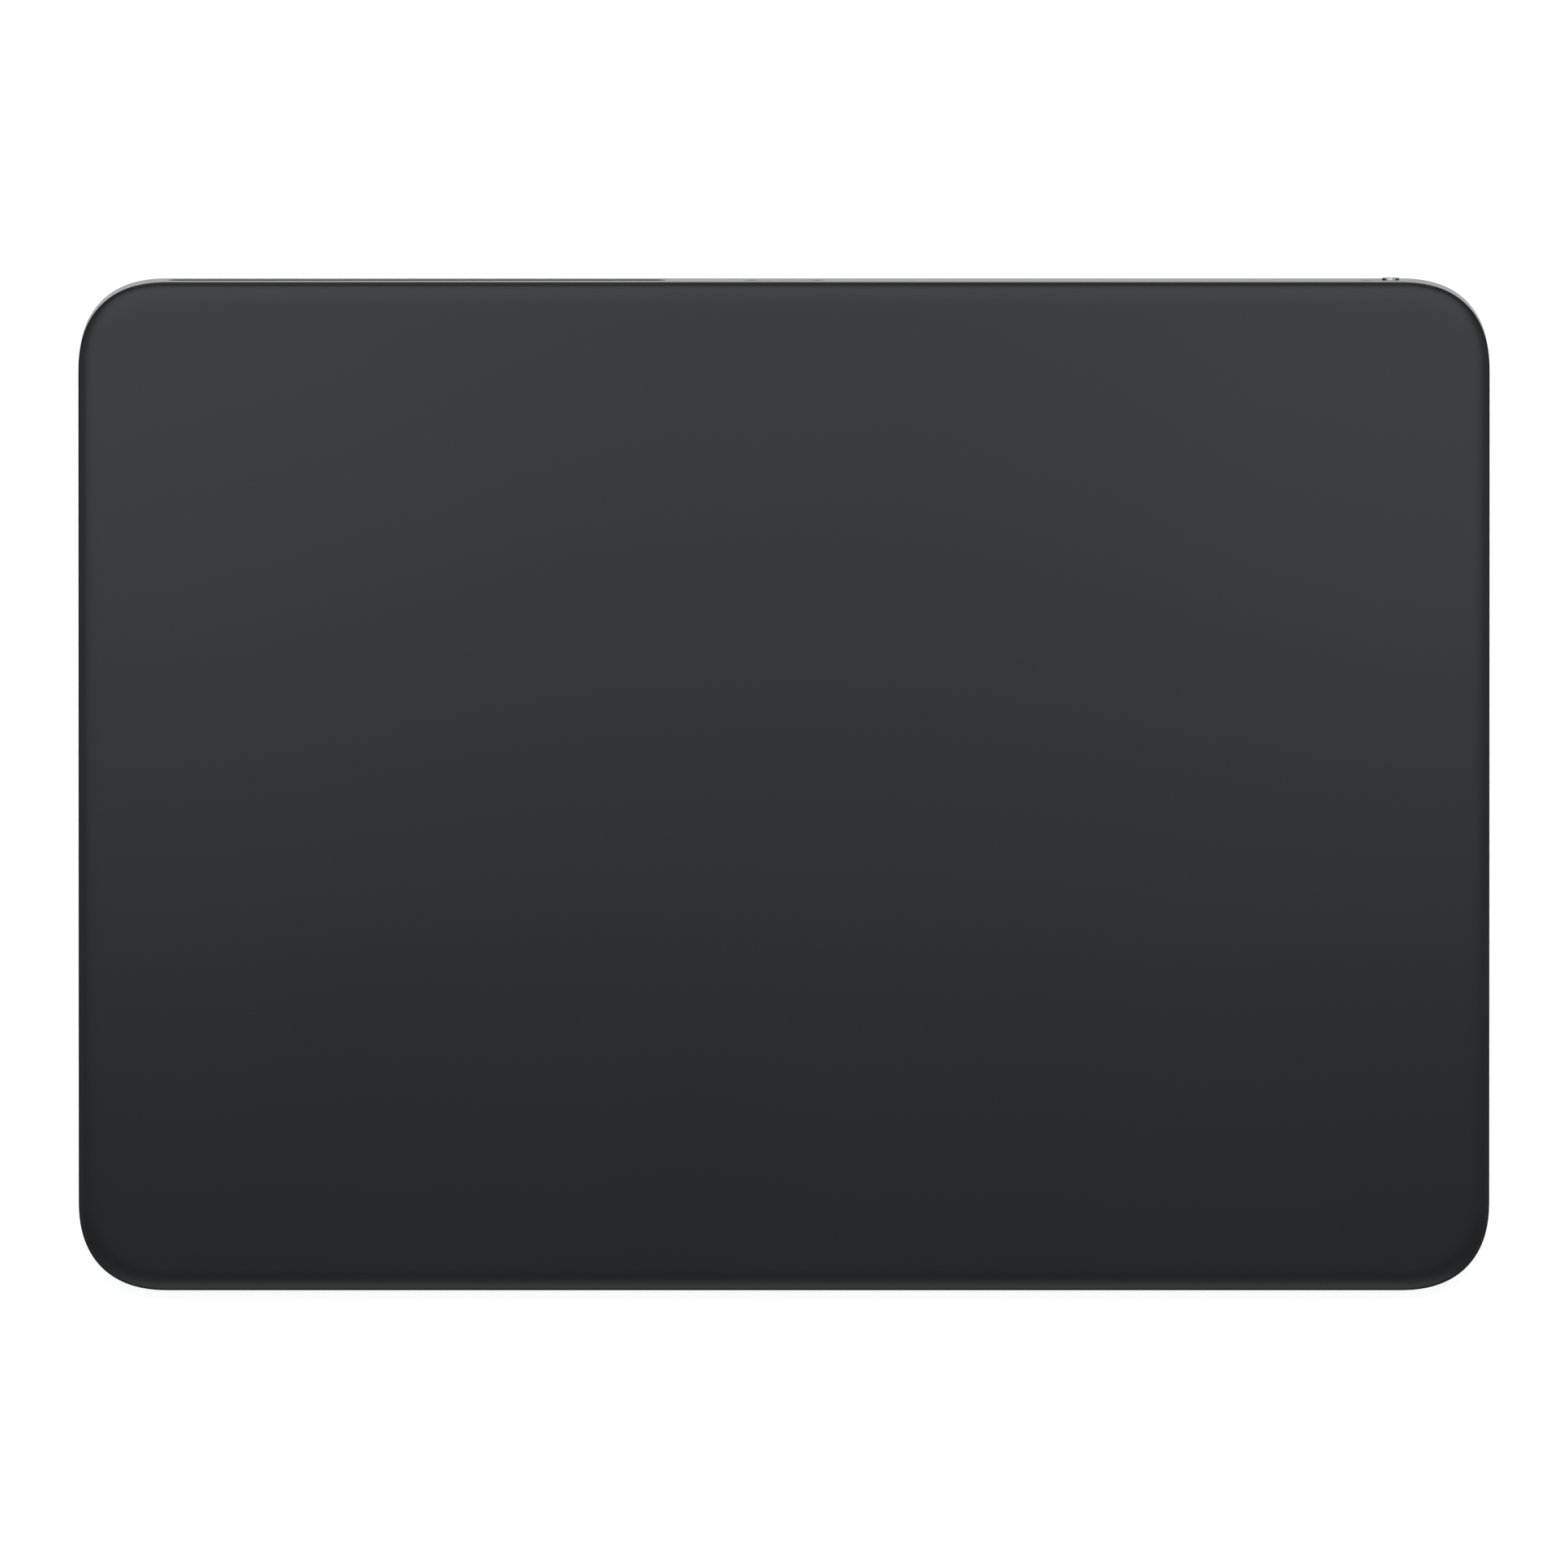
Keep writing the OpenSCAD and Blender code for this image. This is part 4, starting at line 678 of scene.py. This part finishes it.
def etched_film(name, across):
    """Polyimide film whose copper runs lie side by side along one axis."""
    material, tree, place = new_material(name)
    runs = add(tree, "ShaderNodeTexWave", {
        "Vector": place, "Scale": WAVE_TURN / RUN_PITCH}, bands_direction=across)
    band = add(tree, "ShaderNodeMix", {
        "Factor": runs.outputs["Fac"], "A": linear("#7d4416"), "B": linear("#c07a2a")}, data_type="RGBA")
    ridge = add(tree, "ShaderNodeBump", {
        "Height": runs.outputs["Fac"], "Strength": 0.3, "Distance": 0.01 * MM})
    finish_material(tree, add(tree, "ShaderNodeBsdfPrincipled", {
        "Base Color": band.outputs[2], "Roughness": 0.3, "Normal": ridge.outputs["Normal"]}))
    return material


ribbon = etched_film("polyimide_film", "X")
side_ribbon = etched_film("polyimide_film_sideways", "Y")
dress(ribbon, "polyimide")
for held in frame["nodes"]["switch_flex"].material_slots:
    held.material = side_ribbon
for half in (plate_half, board_half):
    half.data.materials.append(ribbon)
    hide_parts("sensor_flex")
bend_point(PLUG_V[1])
bend_point(half_v)
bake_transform(plate_half)
bend_point(half_v)
bend_point(SOCKET_V[0])
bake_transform(board_half)

# Battery: two lithium pouch cells in aluminium-nylon laminate, sealed by heat at the edges and stuck down
# by pads of foam tape. The soft skin is half bright, and faintly wrinkled.
CREASE_SIZE = 6.0
WEAVE_SIZE = 0.3
pouch, tree, place = new_material("pouch_laminate")
creases = add(tree, "ShaderNodeTexNoise", {
    "Vector": place, "Scale": 1 / CREASE_SIZE, "Detail": 4.0, "Distortion": 1.2})
weave = add(tree, "ShaderNodeTexNoise", {"Vector": place, "Scale": 1 / WEAVE_SIZE, "Detail": 1.0})
sheen = add(tree, "ShaderNodeMapRange", {"Value": weave.outputs["Fac"], "To Min": 0.38, "To Max": 0.5})
soft = add(tree, "ShaderNodeBump", {
    "Height": creases.outputs["Fac"], "Strength": 0.35, "Distance": 0.15 * MM})
film = add(tree, "ShaderNodeMix", {
    "Factor": creases.outputs["Fac"], "A": linear("#58595c"), "B": linear("#707175")}, data_type="RGBA")
finish_material(tree, add(tree, "ShaderNodeBsdfPrincipled", {
    "Base Color": film.outputs[2], "Metallic": 0.55, "Roughness": sheen.outputs[0],
    "Normal": soft.outputs["Normal"]}))
dress(pouch, "pouch_film")

# Glues: black foam tape, die-cut to shape, that holds the bottom cover in its recess and the cells on the
# floor, and clear adhesive film between the glass and the sensor board.
dress(moulded("foam_tape", "#29292a", 0.85, 0.2, 0.04), "adhesive_film")
dress(moulded("clear_adhesive", "#dcdccf", 0.25, 1.5, 0.01), "clear_film")

# Suspension: rolled spring-steel flexures with stainless screws and buttons, and gel pads that let the
# plate float. Each flexure is screwed down at its outer end, and its neck, with a strain gauge stuck to
# it, bends as the load button presses its inner end. The plate's stiffener is of the same sheet.
FLEXURE_X = 72.5
FLEXURE_L = 20.0
FLEXURE_W = 8.0
FLEXURE_PAD_L = 9.0
NECK_W = 4.0
NECK_CUTS = 9
CORNER_NAMES = ("front_left", "front_right", "rear_left", "rear_right")
neck_from = FLEXURE_X - FLEXURE_PAD_L / 2
neck_to = FLEXURE_X - FLEXURE_L + math.sqrt(FLEXURE_W ** 2 - NECK_W ** 2) / 2
spring = rolled("spring_steel", "#9a9ca0", 0.3, 0.08, 0)
dress(spring, "spring_steel")


def bending_copy(name, node, side, material, merge=1e-6, slack=1e-7):
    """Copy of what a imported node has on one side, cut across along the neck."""
    mesh = frame["nodes"][node].data.copy()
    mesh.materials.clear()
    mesh.materials.append(material)
    shape = bmesh.new()
    shape.from_mesh(mesh)
    bmesh.ops.remove_doubles(shape, verts=shape.verts, dist=merge)
    others = [face for face in shape.faces if face.calc_center_median().x * side < 0]
    bmesh.ops.delete(shape, geom=others, context="FACES")
    for x in np.linspace(neck_from, neck_to, NECK_CUTS) * side * MM:
        everything = [*shape.verts, *shape.edges, *shape.faces]
        bmesh.ops.bisect_plane(shape, geom=everything, plane_co=(x, 0, 0), plane_no=(1, 0, 0), dist=slack)
    shape.to_mesh(mesh)
    shape.free()
    piece = new_piece(name, tidy(mesh))
    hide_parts(node)
    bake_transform(piece)
    return piece


for corner in CORNER_NAMES:
    outward = -1 if corner.endswith("left") else 1
    bending_copy(f"flexure_{corner}_sheet", f"flexure_{corner}", outward, spring)
for side_name, outward in (("left", -1), ("right", 1)):
    bending_copy(f"strain_gauges_{side_name}", "strain_gauges", outward, side_ribbon)
dress(rolled("stainless_steel", "#b0b0b1", 0.26, 0.06, 0), "stainless_steel")
# The gel pads stick to the button below and the plate above, and shear between them
GEL_TOP = 2.25
GEL_T = 0.5
pads = new_piece("gel_pads_soft", tidy(frame["nodes"]["gel_pads"].data.copy(), merge=1e-6))
pads.data.materials.clear()
pads.data.materials.append(moulded("silicone_gel", "#c2c4ca", 0.2, 0.8, 0.02))
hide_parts("gel_pads")
deck(0, 0, -GEL_TOP - GEL_T).tolist()
deck(0, 0, -GEL_TOP).tolist()
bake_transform(pads)

# Haptic engine: a comb of stacked silicon-steel sheets with four windings of enamelled copper wire, which
# pulls the armature under the plate. Sheets and turns are drawn about twice as coarse as in life, to
# show. The antenna's trace shares the copper.
SHEET_PITCH = 0.693
TURN_PITCH = 0.396
stack, tree, place = new_material("stacked_core_steel")
sheets = add(tree, "ShaderNodeTexWave", {
    "Vector": place, "Scale": WAVE_TURN / SHEET_PITCH}, bands_direction="Z")
oxide = add(tree, "ShaderNodeMix", {
    "Factor": sheets.outputs["Fac"], "A": linear("#3f4347"), "B": linear("#777b80")}, data_type="RGBA")
seams = add(tree, "ShaderNodeBump", {
    "Height": sheets.outputs["Fac"], "Strength": 0.4, "Distance": 0.02 * MM})
finish_material(tree, add(tree, "ShaderNodeBsdfPrincipled", {
    "Base Color": oxide.outputs[2], "Metallic": 1.0, "Roughness": 0.45, "Normal": seams.outputs["Normal"]}))
dress(stack, "core_steel")
wire, tree, place = new_material("enamelled_copper")
turns = add(tree, "ShaderNodeTexWave", {
    "Vector": place, "Scale": WAVE_TURN / TURN_PITCH}, bands_direction="Y")
enamel = add(tree, "ShaderNodeMix", {
    "Factor": turns.outputs["Fac"], "A": linear("#6f2f14"), "B": linear("#c9713a")}, data_type="RGBA")
round_wire = add(tree, "ShaderNodeBump", {
    "Height": turns.outputs["Fac"], "Strength": 0.8, "Distance": 0.08 * MM})
finish_material(tree, add(tree, "ShaderNodeBsdfPrincipled", {
    "Base Color": enamel.outputs[2], "Metallic": 0.9, "Roughness": 0.3,
    "Normal": round_wire.outputs["Normal"]}))
dress(wire, "copper")

# Bottom cover: a thin plate of pale grey polycarbonate, moulded with a fine matt texture. It is stuck into
# its recess in the housing, flush with the underside, and has a round pocket for each foot.
COVER_T = 0.6
COVER_GAP = 0.1
FOOT_D = 9.0
FOOT_POCKET = 0.3
POCKET_GAP = 0.08
FOOT_INSET = 14.0
foot_x = BODY_W / 2 - FOOT_INSET
foot_y = DECK_D / 2 - FOOT_INSET


def upright_ring(middle, radius, z, count=72):
    """Level ring round a foot's axis."""
    angle = np.linspace(0, 2 * math.pi, count, endpoint=False)
    points = [middle[0] + radius * np.cos(angle), middle[1] + radius * np.sin(angle), np.full(count, z)]
    return np.stack(points, axis=1) * MM


edge = COVER_INSET + COVER_GAP
plate = loft("cover", [
    base_ring(edge + 8 * EDGE_BREAK, BASE_Z),
    base_ring(edge + EDGE_BREAK, BASE_Z),
    base_ring(edge, BASE_Z + EDGE_BREAK),
    base_ring(edge, BASE_Z + COVER_T - EDGE_BREAK),
    base_ring(edge + EDGE_BREAK, BASE_Z + COVER_T)])
pocket_r = FOOT_D / 2 + POCKET_GAP
pockets = [
    lathe("pocket", [(pocket_r, BASE_Z - OUTSIDE), (pocket_r, BASE_Z + FOOT_POCKET)],
          lambda radius, z: upright_ring((sx * foot_x, BASE_Y + sy * foot_y), radius, z))
    for sx in (-1, 1) for sy in (-1, 1)]
cover = new_piece("bottom_cover_plate", combine(plate, pockets, "DIFFERENCE"))
# Matt polycarbonate: soft pale grey, with etched grain of about 0.15 mm
cover.data.materials.append(moulded("matt_polycarbonate", "#cfd0d2", 0.58, 0.15, 0.02))
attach(cover, "housing")
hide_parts("bottom_cover")

# Feet: four discs of grey silicone rubber, moulded with a rounded edge and a shallow dished face, stuck
# into the cover's pockets. One foot is turned, and a grid of four points repeats it.
FOOT_ROUND = 0.3
FOOT_BAND = 1.0
FOOT_DISH = 0.06
DISH_SLOPE = 0.4
DISH_MIDDLE = 0.05
foot_top = BASE_Z + FOOT_POCKET
rim = [(FOOT_D / 2 - FOOT_ROUND * (1 - math.cos(a)), FOOT_ROUND * (1 - math.sin(a)))
       for a in np.radians(np.linspace(0, 90, 8))]
dish_r = FOOT_D / 2 - FOOT_BAND
face = [(dish_r, 0.0), (dish_r - DISH_SLOPE, FOOT_DISH), (FOOT_D / 4, FOOT_DISH), (DISH_MIDDLE, FOOT_DISH)]
foot = lathe("foot", [(FOOT_D / 2, foot_top), *rim, *face],
             lambda radius, z: upright_ring((0, 0), radius, z))
foot_source = new_piece("foot", foot)


def foot_points(tree, sizes):
    """One point at each corner of a rectangle."""
    grid = add(tree, "GeometryNodeMeshGrid", {
        "Size X": sizes["Across"], "Size Y": sizes["Along"], "Vertices X": 2, "Vertices Y": 2})
    return add(tree, "GeometryNodeTransform", {
        "Geometry": grid.outputs["Mesh"], "Translation": sizes["Place"]})


# Silicone rubber: soft and matt, with fine talc-like grain
feet = scatter("rubber_feet", foot_source, moulded("silicone_rubber", "#9c9ea1", 0.7, 0.12, 0.015), {
    "Across": ("NodeSocketFloat", 2 * foot_x * MM),
    "Along": ("NodeSocketFloat", 2 * foot_y * MM),
    "Place": ("NodeSocketVector", (0, BASE_Y * MM, 0)),
    "Turn": ("NodeSocketVector", (0, 0, 0)),
}, foot_points)
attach(feet, "housing")
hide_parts("foot_front_left", "foot_front_right", "foot_rear_left", "foot_rear_right")

# Touch plate: soda-lime glass, etched satin on top and printed black underneath, with a softly rounded edge
# that is ground and polished. It is bonded to the sensor board, which rides with it.
GLASS_T = 1.1
GLASS_ROUND_W = 2.4
GLASS_ROUND_H = 0.55
GLASS_CHAMFER = 0.15
GLASS_FLAT = 1.5
GLASS_BLACK = "#13151a"
GLASS_TOOTH = "#171a1f"
ETCH_GRAIN = 0.09
ETCH_DRIFT = 35.0
LIP_DEPTH = 0.40
LIP_HALF = 0.06
LIP_REAR = (56.6, 57.0)
bend = np.radians(np.linspace(0, 90, 15))
glass = new_piece("touch_glass_plate", loft("glass", [
    rim_ring(GLASS_ROUND_W + GLASS_FLAT, 0),
    *[rim_ring(GLASS_ROUND_W * (1 - math.sin(a)), GLASS_ROUND_H * (1 - math.cos(a))) for a in bend],
    rim_ring(0, GLASS_T - GLASS_CHAMFER),
    rim_ring(GLASS_CHAMFER, GLASS_T),
    rim_ring(GLASS_CHAMFER + GLASS_FLAT, GLASS_T)]))

# Etched black glass: a dark satin with soft wide highlights. The etch is far finer than 0.1 mm in life and
# is drawn at that size so that its tooth just shows
satin, tree, place = new_material("etched_black_glass")
tooth = add(tree, "ShaderNodeTexNoise", {"Vector": place, "Scale": 1 / ETCH_GRAIN, "Detail": 2.0})
drift = add(tree, "ShaderNodeTexNoise", {"Vector": place, "Scale": 1 / ETCH_DRIFT, "Detail": 1.0})
etch_gloss = add(tree, "ShaderNodeMapRange", {
    "Value": drift.outputs["Fac"], "To Min": 0.32, "To Max": 0.36})
etched = add(tree, "ShaderNodeBump", {
    "Height": tooth.outputs["Fac"], "Strength": 0.08, "Distance": 0.008 * MM})
ink = add(tree, "ShaderNodeMix", {
    "Factor": tooth.outputs["Fac"], "A": linear(GLASS_BLACK), "B": linear(GLASS_TOOTH)}, data_type="RGBA")
# A fine line between the etched top and the polished edge is ground matt, and shows dark. It fades out
# along the rear side, which is polished right up to the etch
level = add(tree, "ShaderNodeMapping", {
    "Vector": place, "Location": (0, -DECK_V0, LIP_DEPTH - DECK_W0), "Rotation": (-TILT, 0, 0)})
on_deck = add(tree, "ShaderNodeSeparateXYZ", {"Vector": level.outputs["Vector"]})
from_lip = add(tree, "ShaderNodeMath", {0: on_deck.outputs["Z"]}, operation="ABSOLUTE")
ground = add(tree, "ShaderNodeMapRange", {
    "Value": from_lip.outputs[0],
    "From Min": LIP_HALF, "From Max": 2 * LIP_HALF, "To Min": 1.0, "To Max": 0.0})
elsewhere = add(tree, "ShaderNodeMapRange", {
    "Value": on_deck.outputs["Y"],
    "From Min": LIP_REAR[0], "From Max": LIP_REAR[1], "To Min": 1.0, "To Max": 0.0})
matt_line = add(tree, "ShaderNodeMath", {
    0: ground.outputs[0], 1: elsewhere.outputs[0]}, operation="MULTIPLY")
rough = add(tree, "ShaderNodeMath", {
    0: etch_gloss.outputs[0], 1: matt_line.outputs[0]}, operation="MAXIMUM")
finish_material(tree, add(tree, "ShaderNodeBsdfPrincipled", {
    "Base Color": ink.outputs[2], "Roughness": rough.outputs[0], "IOR": 1.5,
    "Normal": etched.outputs["Normal"]}))
glass.data.materials.append(satin)
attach(glass, "touch_plate")
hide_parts("glass_plate")

# Studio: a wide pale floor, a soft dome that is paler at the horizon, and large soft panels overhead and
# on all sides. The floor glows to what looks at it, so that it is white, and still takes a shadow.
FLOOR_HALF = 6.0
FLOOR_GLOW = "#cccccc"
PAPER_WHITE = "#f6f6f6"
DOME_GLOW = 0.7
HAZE_GLOW = 0.17
HAZE_BAND = (0.02, 0.08)
floor_mesh = bpy.data.meshes.new("floor")
corners = [(sx * FLOOR_HALF, sy * FLOOR_HALF, 0) for sx, sy in ((-1, -1), (1, -1), (1, 1), (-1, 1))]
floor_mesh.from_pydata(corners, [], [(0, 1, 2, 3)])
floor = new_piece("floor", floor_mesh)
paper, tree, place = new_material("white_paper")
seen = add(tree, "ShaderNodeLightPath", {})
direct = add(tree, "ShaderNodeMath", {
    0: seen.outputs["Is Camera Ray"], 1: seen.outputs["Is Glossy Ray"]}, operation="MAXIMUM")
looked = add(tree, "ShaderNodeMath", {
    0: direct.outputs[0], 1: seen.outputs["Is Transmission Ray"]}, operation="MAXIMUM")
glow = add(tree, "ShaderNodeEmission", {"Color": linear(FLOOR_GLOW), "Strength": looked.outputs[0]})
matt = add(tree, "ShaderNodeBsdfDiffuse", {"Color": linear(PAPER_WHITE)})
finish_material(tree, add(tree, "ShaderNodeAddShader", {0: matt.outputs[0], 1: glow.outputs[0]}))
floor.data.materials.append(paper)

world = bpy.data.worlds.new("studio_dome")
bpy.context.scene.world = world
world.use_nodes = True
tree = world.node_tree
tree.nodes.clear()
way = add(tree, "ShaderNodeTexCoord", {})
upward = add(tree, "ShaderNodeSeparateXYZ", {"Vector": way.outputs["Generated"]})
rise = add(tree, "ShaderNodeMapRange", {"Value": upward.outputs["Z"], "To Min": DOME_GLOW, "To Max": 0.0})
# A thin band of haze at the horizon is as pale as the far floor, so that low views show no line there
haze = add(tree, "ShaderNodeMapRange", {
    "Value": upward.outputs["Z"],
    "From Min": HAZE_BAND[0], "From Max": HAZE_BAND[1], "To Min": HAZE_GLOW, "To Max": 0.0})
backdrop = add(tree, "ShaderNodeMath", {0: rise.outputs[0], 1: haze.outputs[0]}, operation="ADD")
dome = add(tree, "ShaderNodeBackground", {"Color": linear("#ffffff"), "Strength": backdrop.outputs[0]})
add(tree, "ShaderNodeOutputWorld", {"Surface": dome.outputs[0]})


def panel(name, place, aim, size, radiance):
    """Soft rectangular lamp at a place in metres, turned to a point, with an even radiance."""
    lamp = bpy.data.lights.new(name, "AREA")
    lamp.shape = "RECTANGLE"
    lamp.size, lamp.size_y = size
    lamp.energy = radiance * math.pi * size[0] * size[1]
    holder = bpy.data.objects.new(name, lamp)
    holder.location = place
    holder.rotation_euler = (Vector(aim) - Vector(place)).to_track_quat("-Z", "Y").to_euler()
    holder.visible_camera = False
    bpy.context.scene.collection.objects.link(holder)


panel("overhead_panel", (0, 0.10, 0.45), (0, 0.02, 0), (0.50, 0.30), 1.24)
panel("near_panel", (0, 0.04, 0.18), (0, 0.04, 0), (0.26, 0.11), 0.12)
panel("rear_strip", (0, 0.22, 0.40), (0, 0.05, 0), (0.50, 0.10), 0.76)
panel("rear_low_box", (0, 0.55, 0.28), (0, 0.05, 0), (0.60, 0.30), 0.32)
panel("front_upper_box", (0, -0.40, 0.50), (0, -0.05, 0), (0.50, 0.20), 0.74)
panel("front_lower_box", (0, -0.50, 0.35), (0, -0.05, 0), (0.50, 0.20), 0.69)
for side in (-1, 1):
    panel("near_side_panel", (side * 0.10, 0.05, 0.16), (side * 0.10, 0.05, 0), (0.10, 0.14), 0.25)
    panel("side_box", (side * 0.50, 0, 0.45), (0, 0, 0), (0.20, 0.40), 0.39)

# Camera: straight above, with a very long lens, as the photograph shows no perspective. The picture is
# square, and takes in this width at the height of the glass.
FRAME_W = 0.17778
CAMERA_H = 8.0
CAMERA_Y = 0.000037
SENSOR = 36.0
lens = bpy.data.cameras.new("straight_down")
lens.sensor_width = SENSOR
lens.lens = SENSOR * CAMERA_H / FRAME_W
lens.clip_end = 4 * CAMERA_H
camera = bpy.data.objects.new("straight_down", lens)
camera.location = (0, CAMERA_Y, CAMERA_H + DECK_Z * MM)
bpy.context.scene.collection.objects.link(camera)
bpy.context.scene.camera = camera

bpy.context.scene.view_settings.view_transform = "Standard"
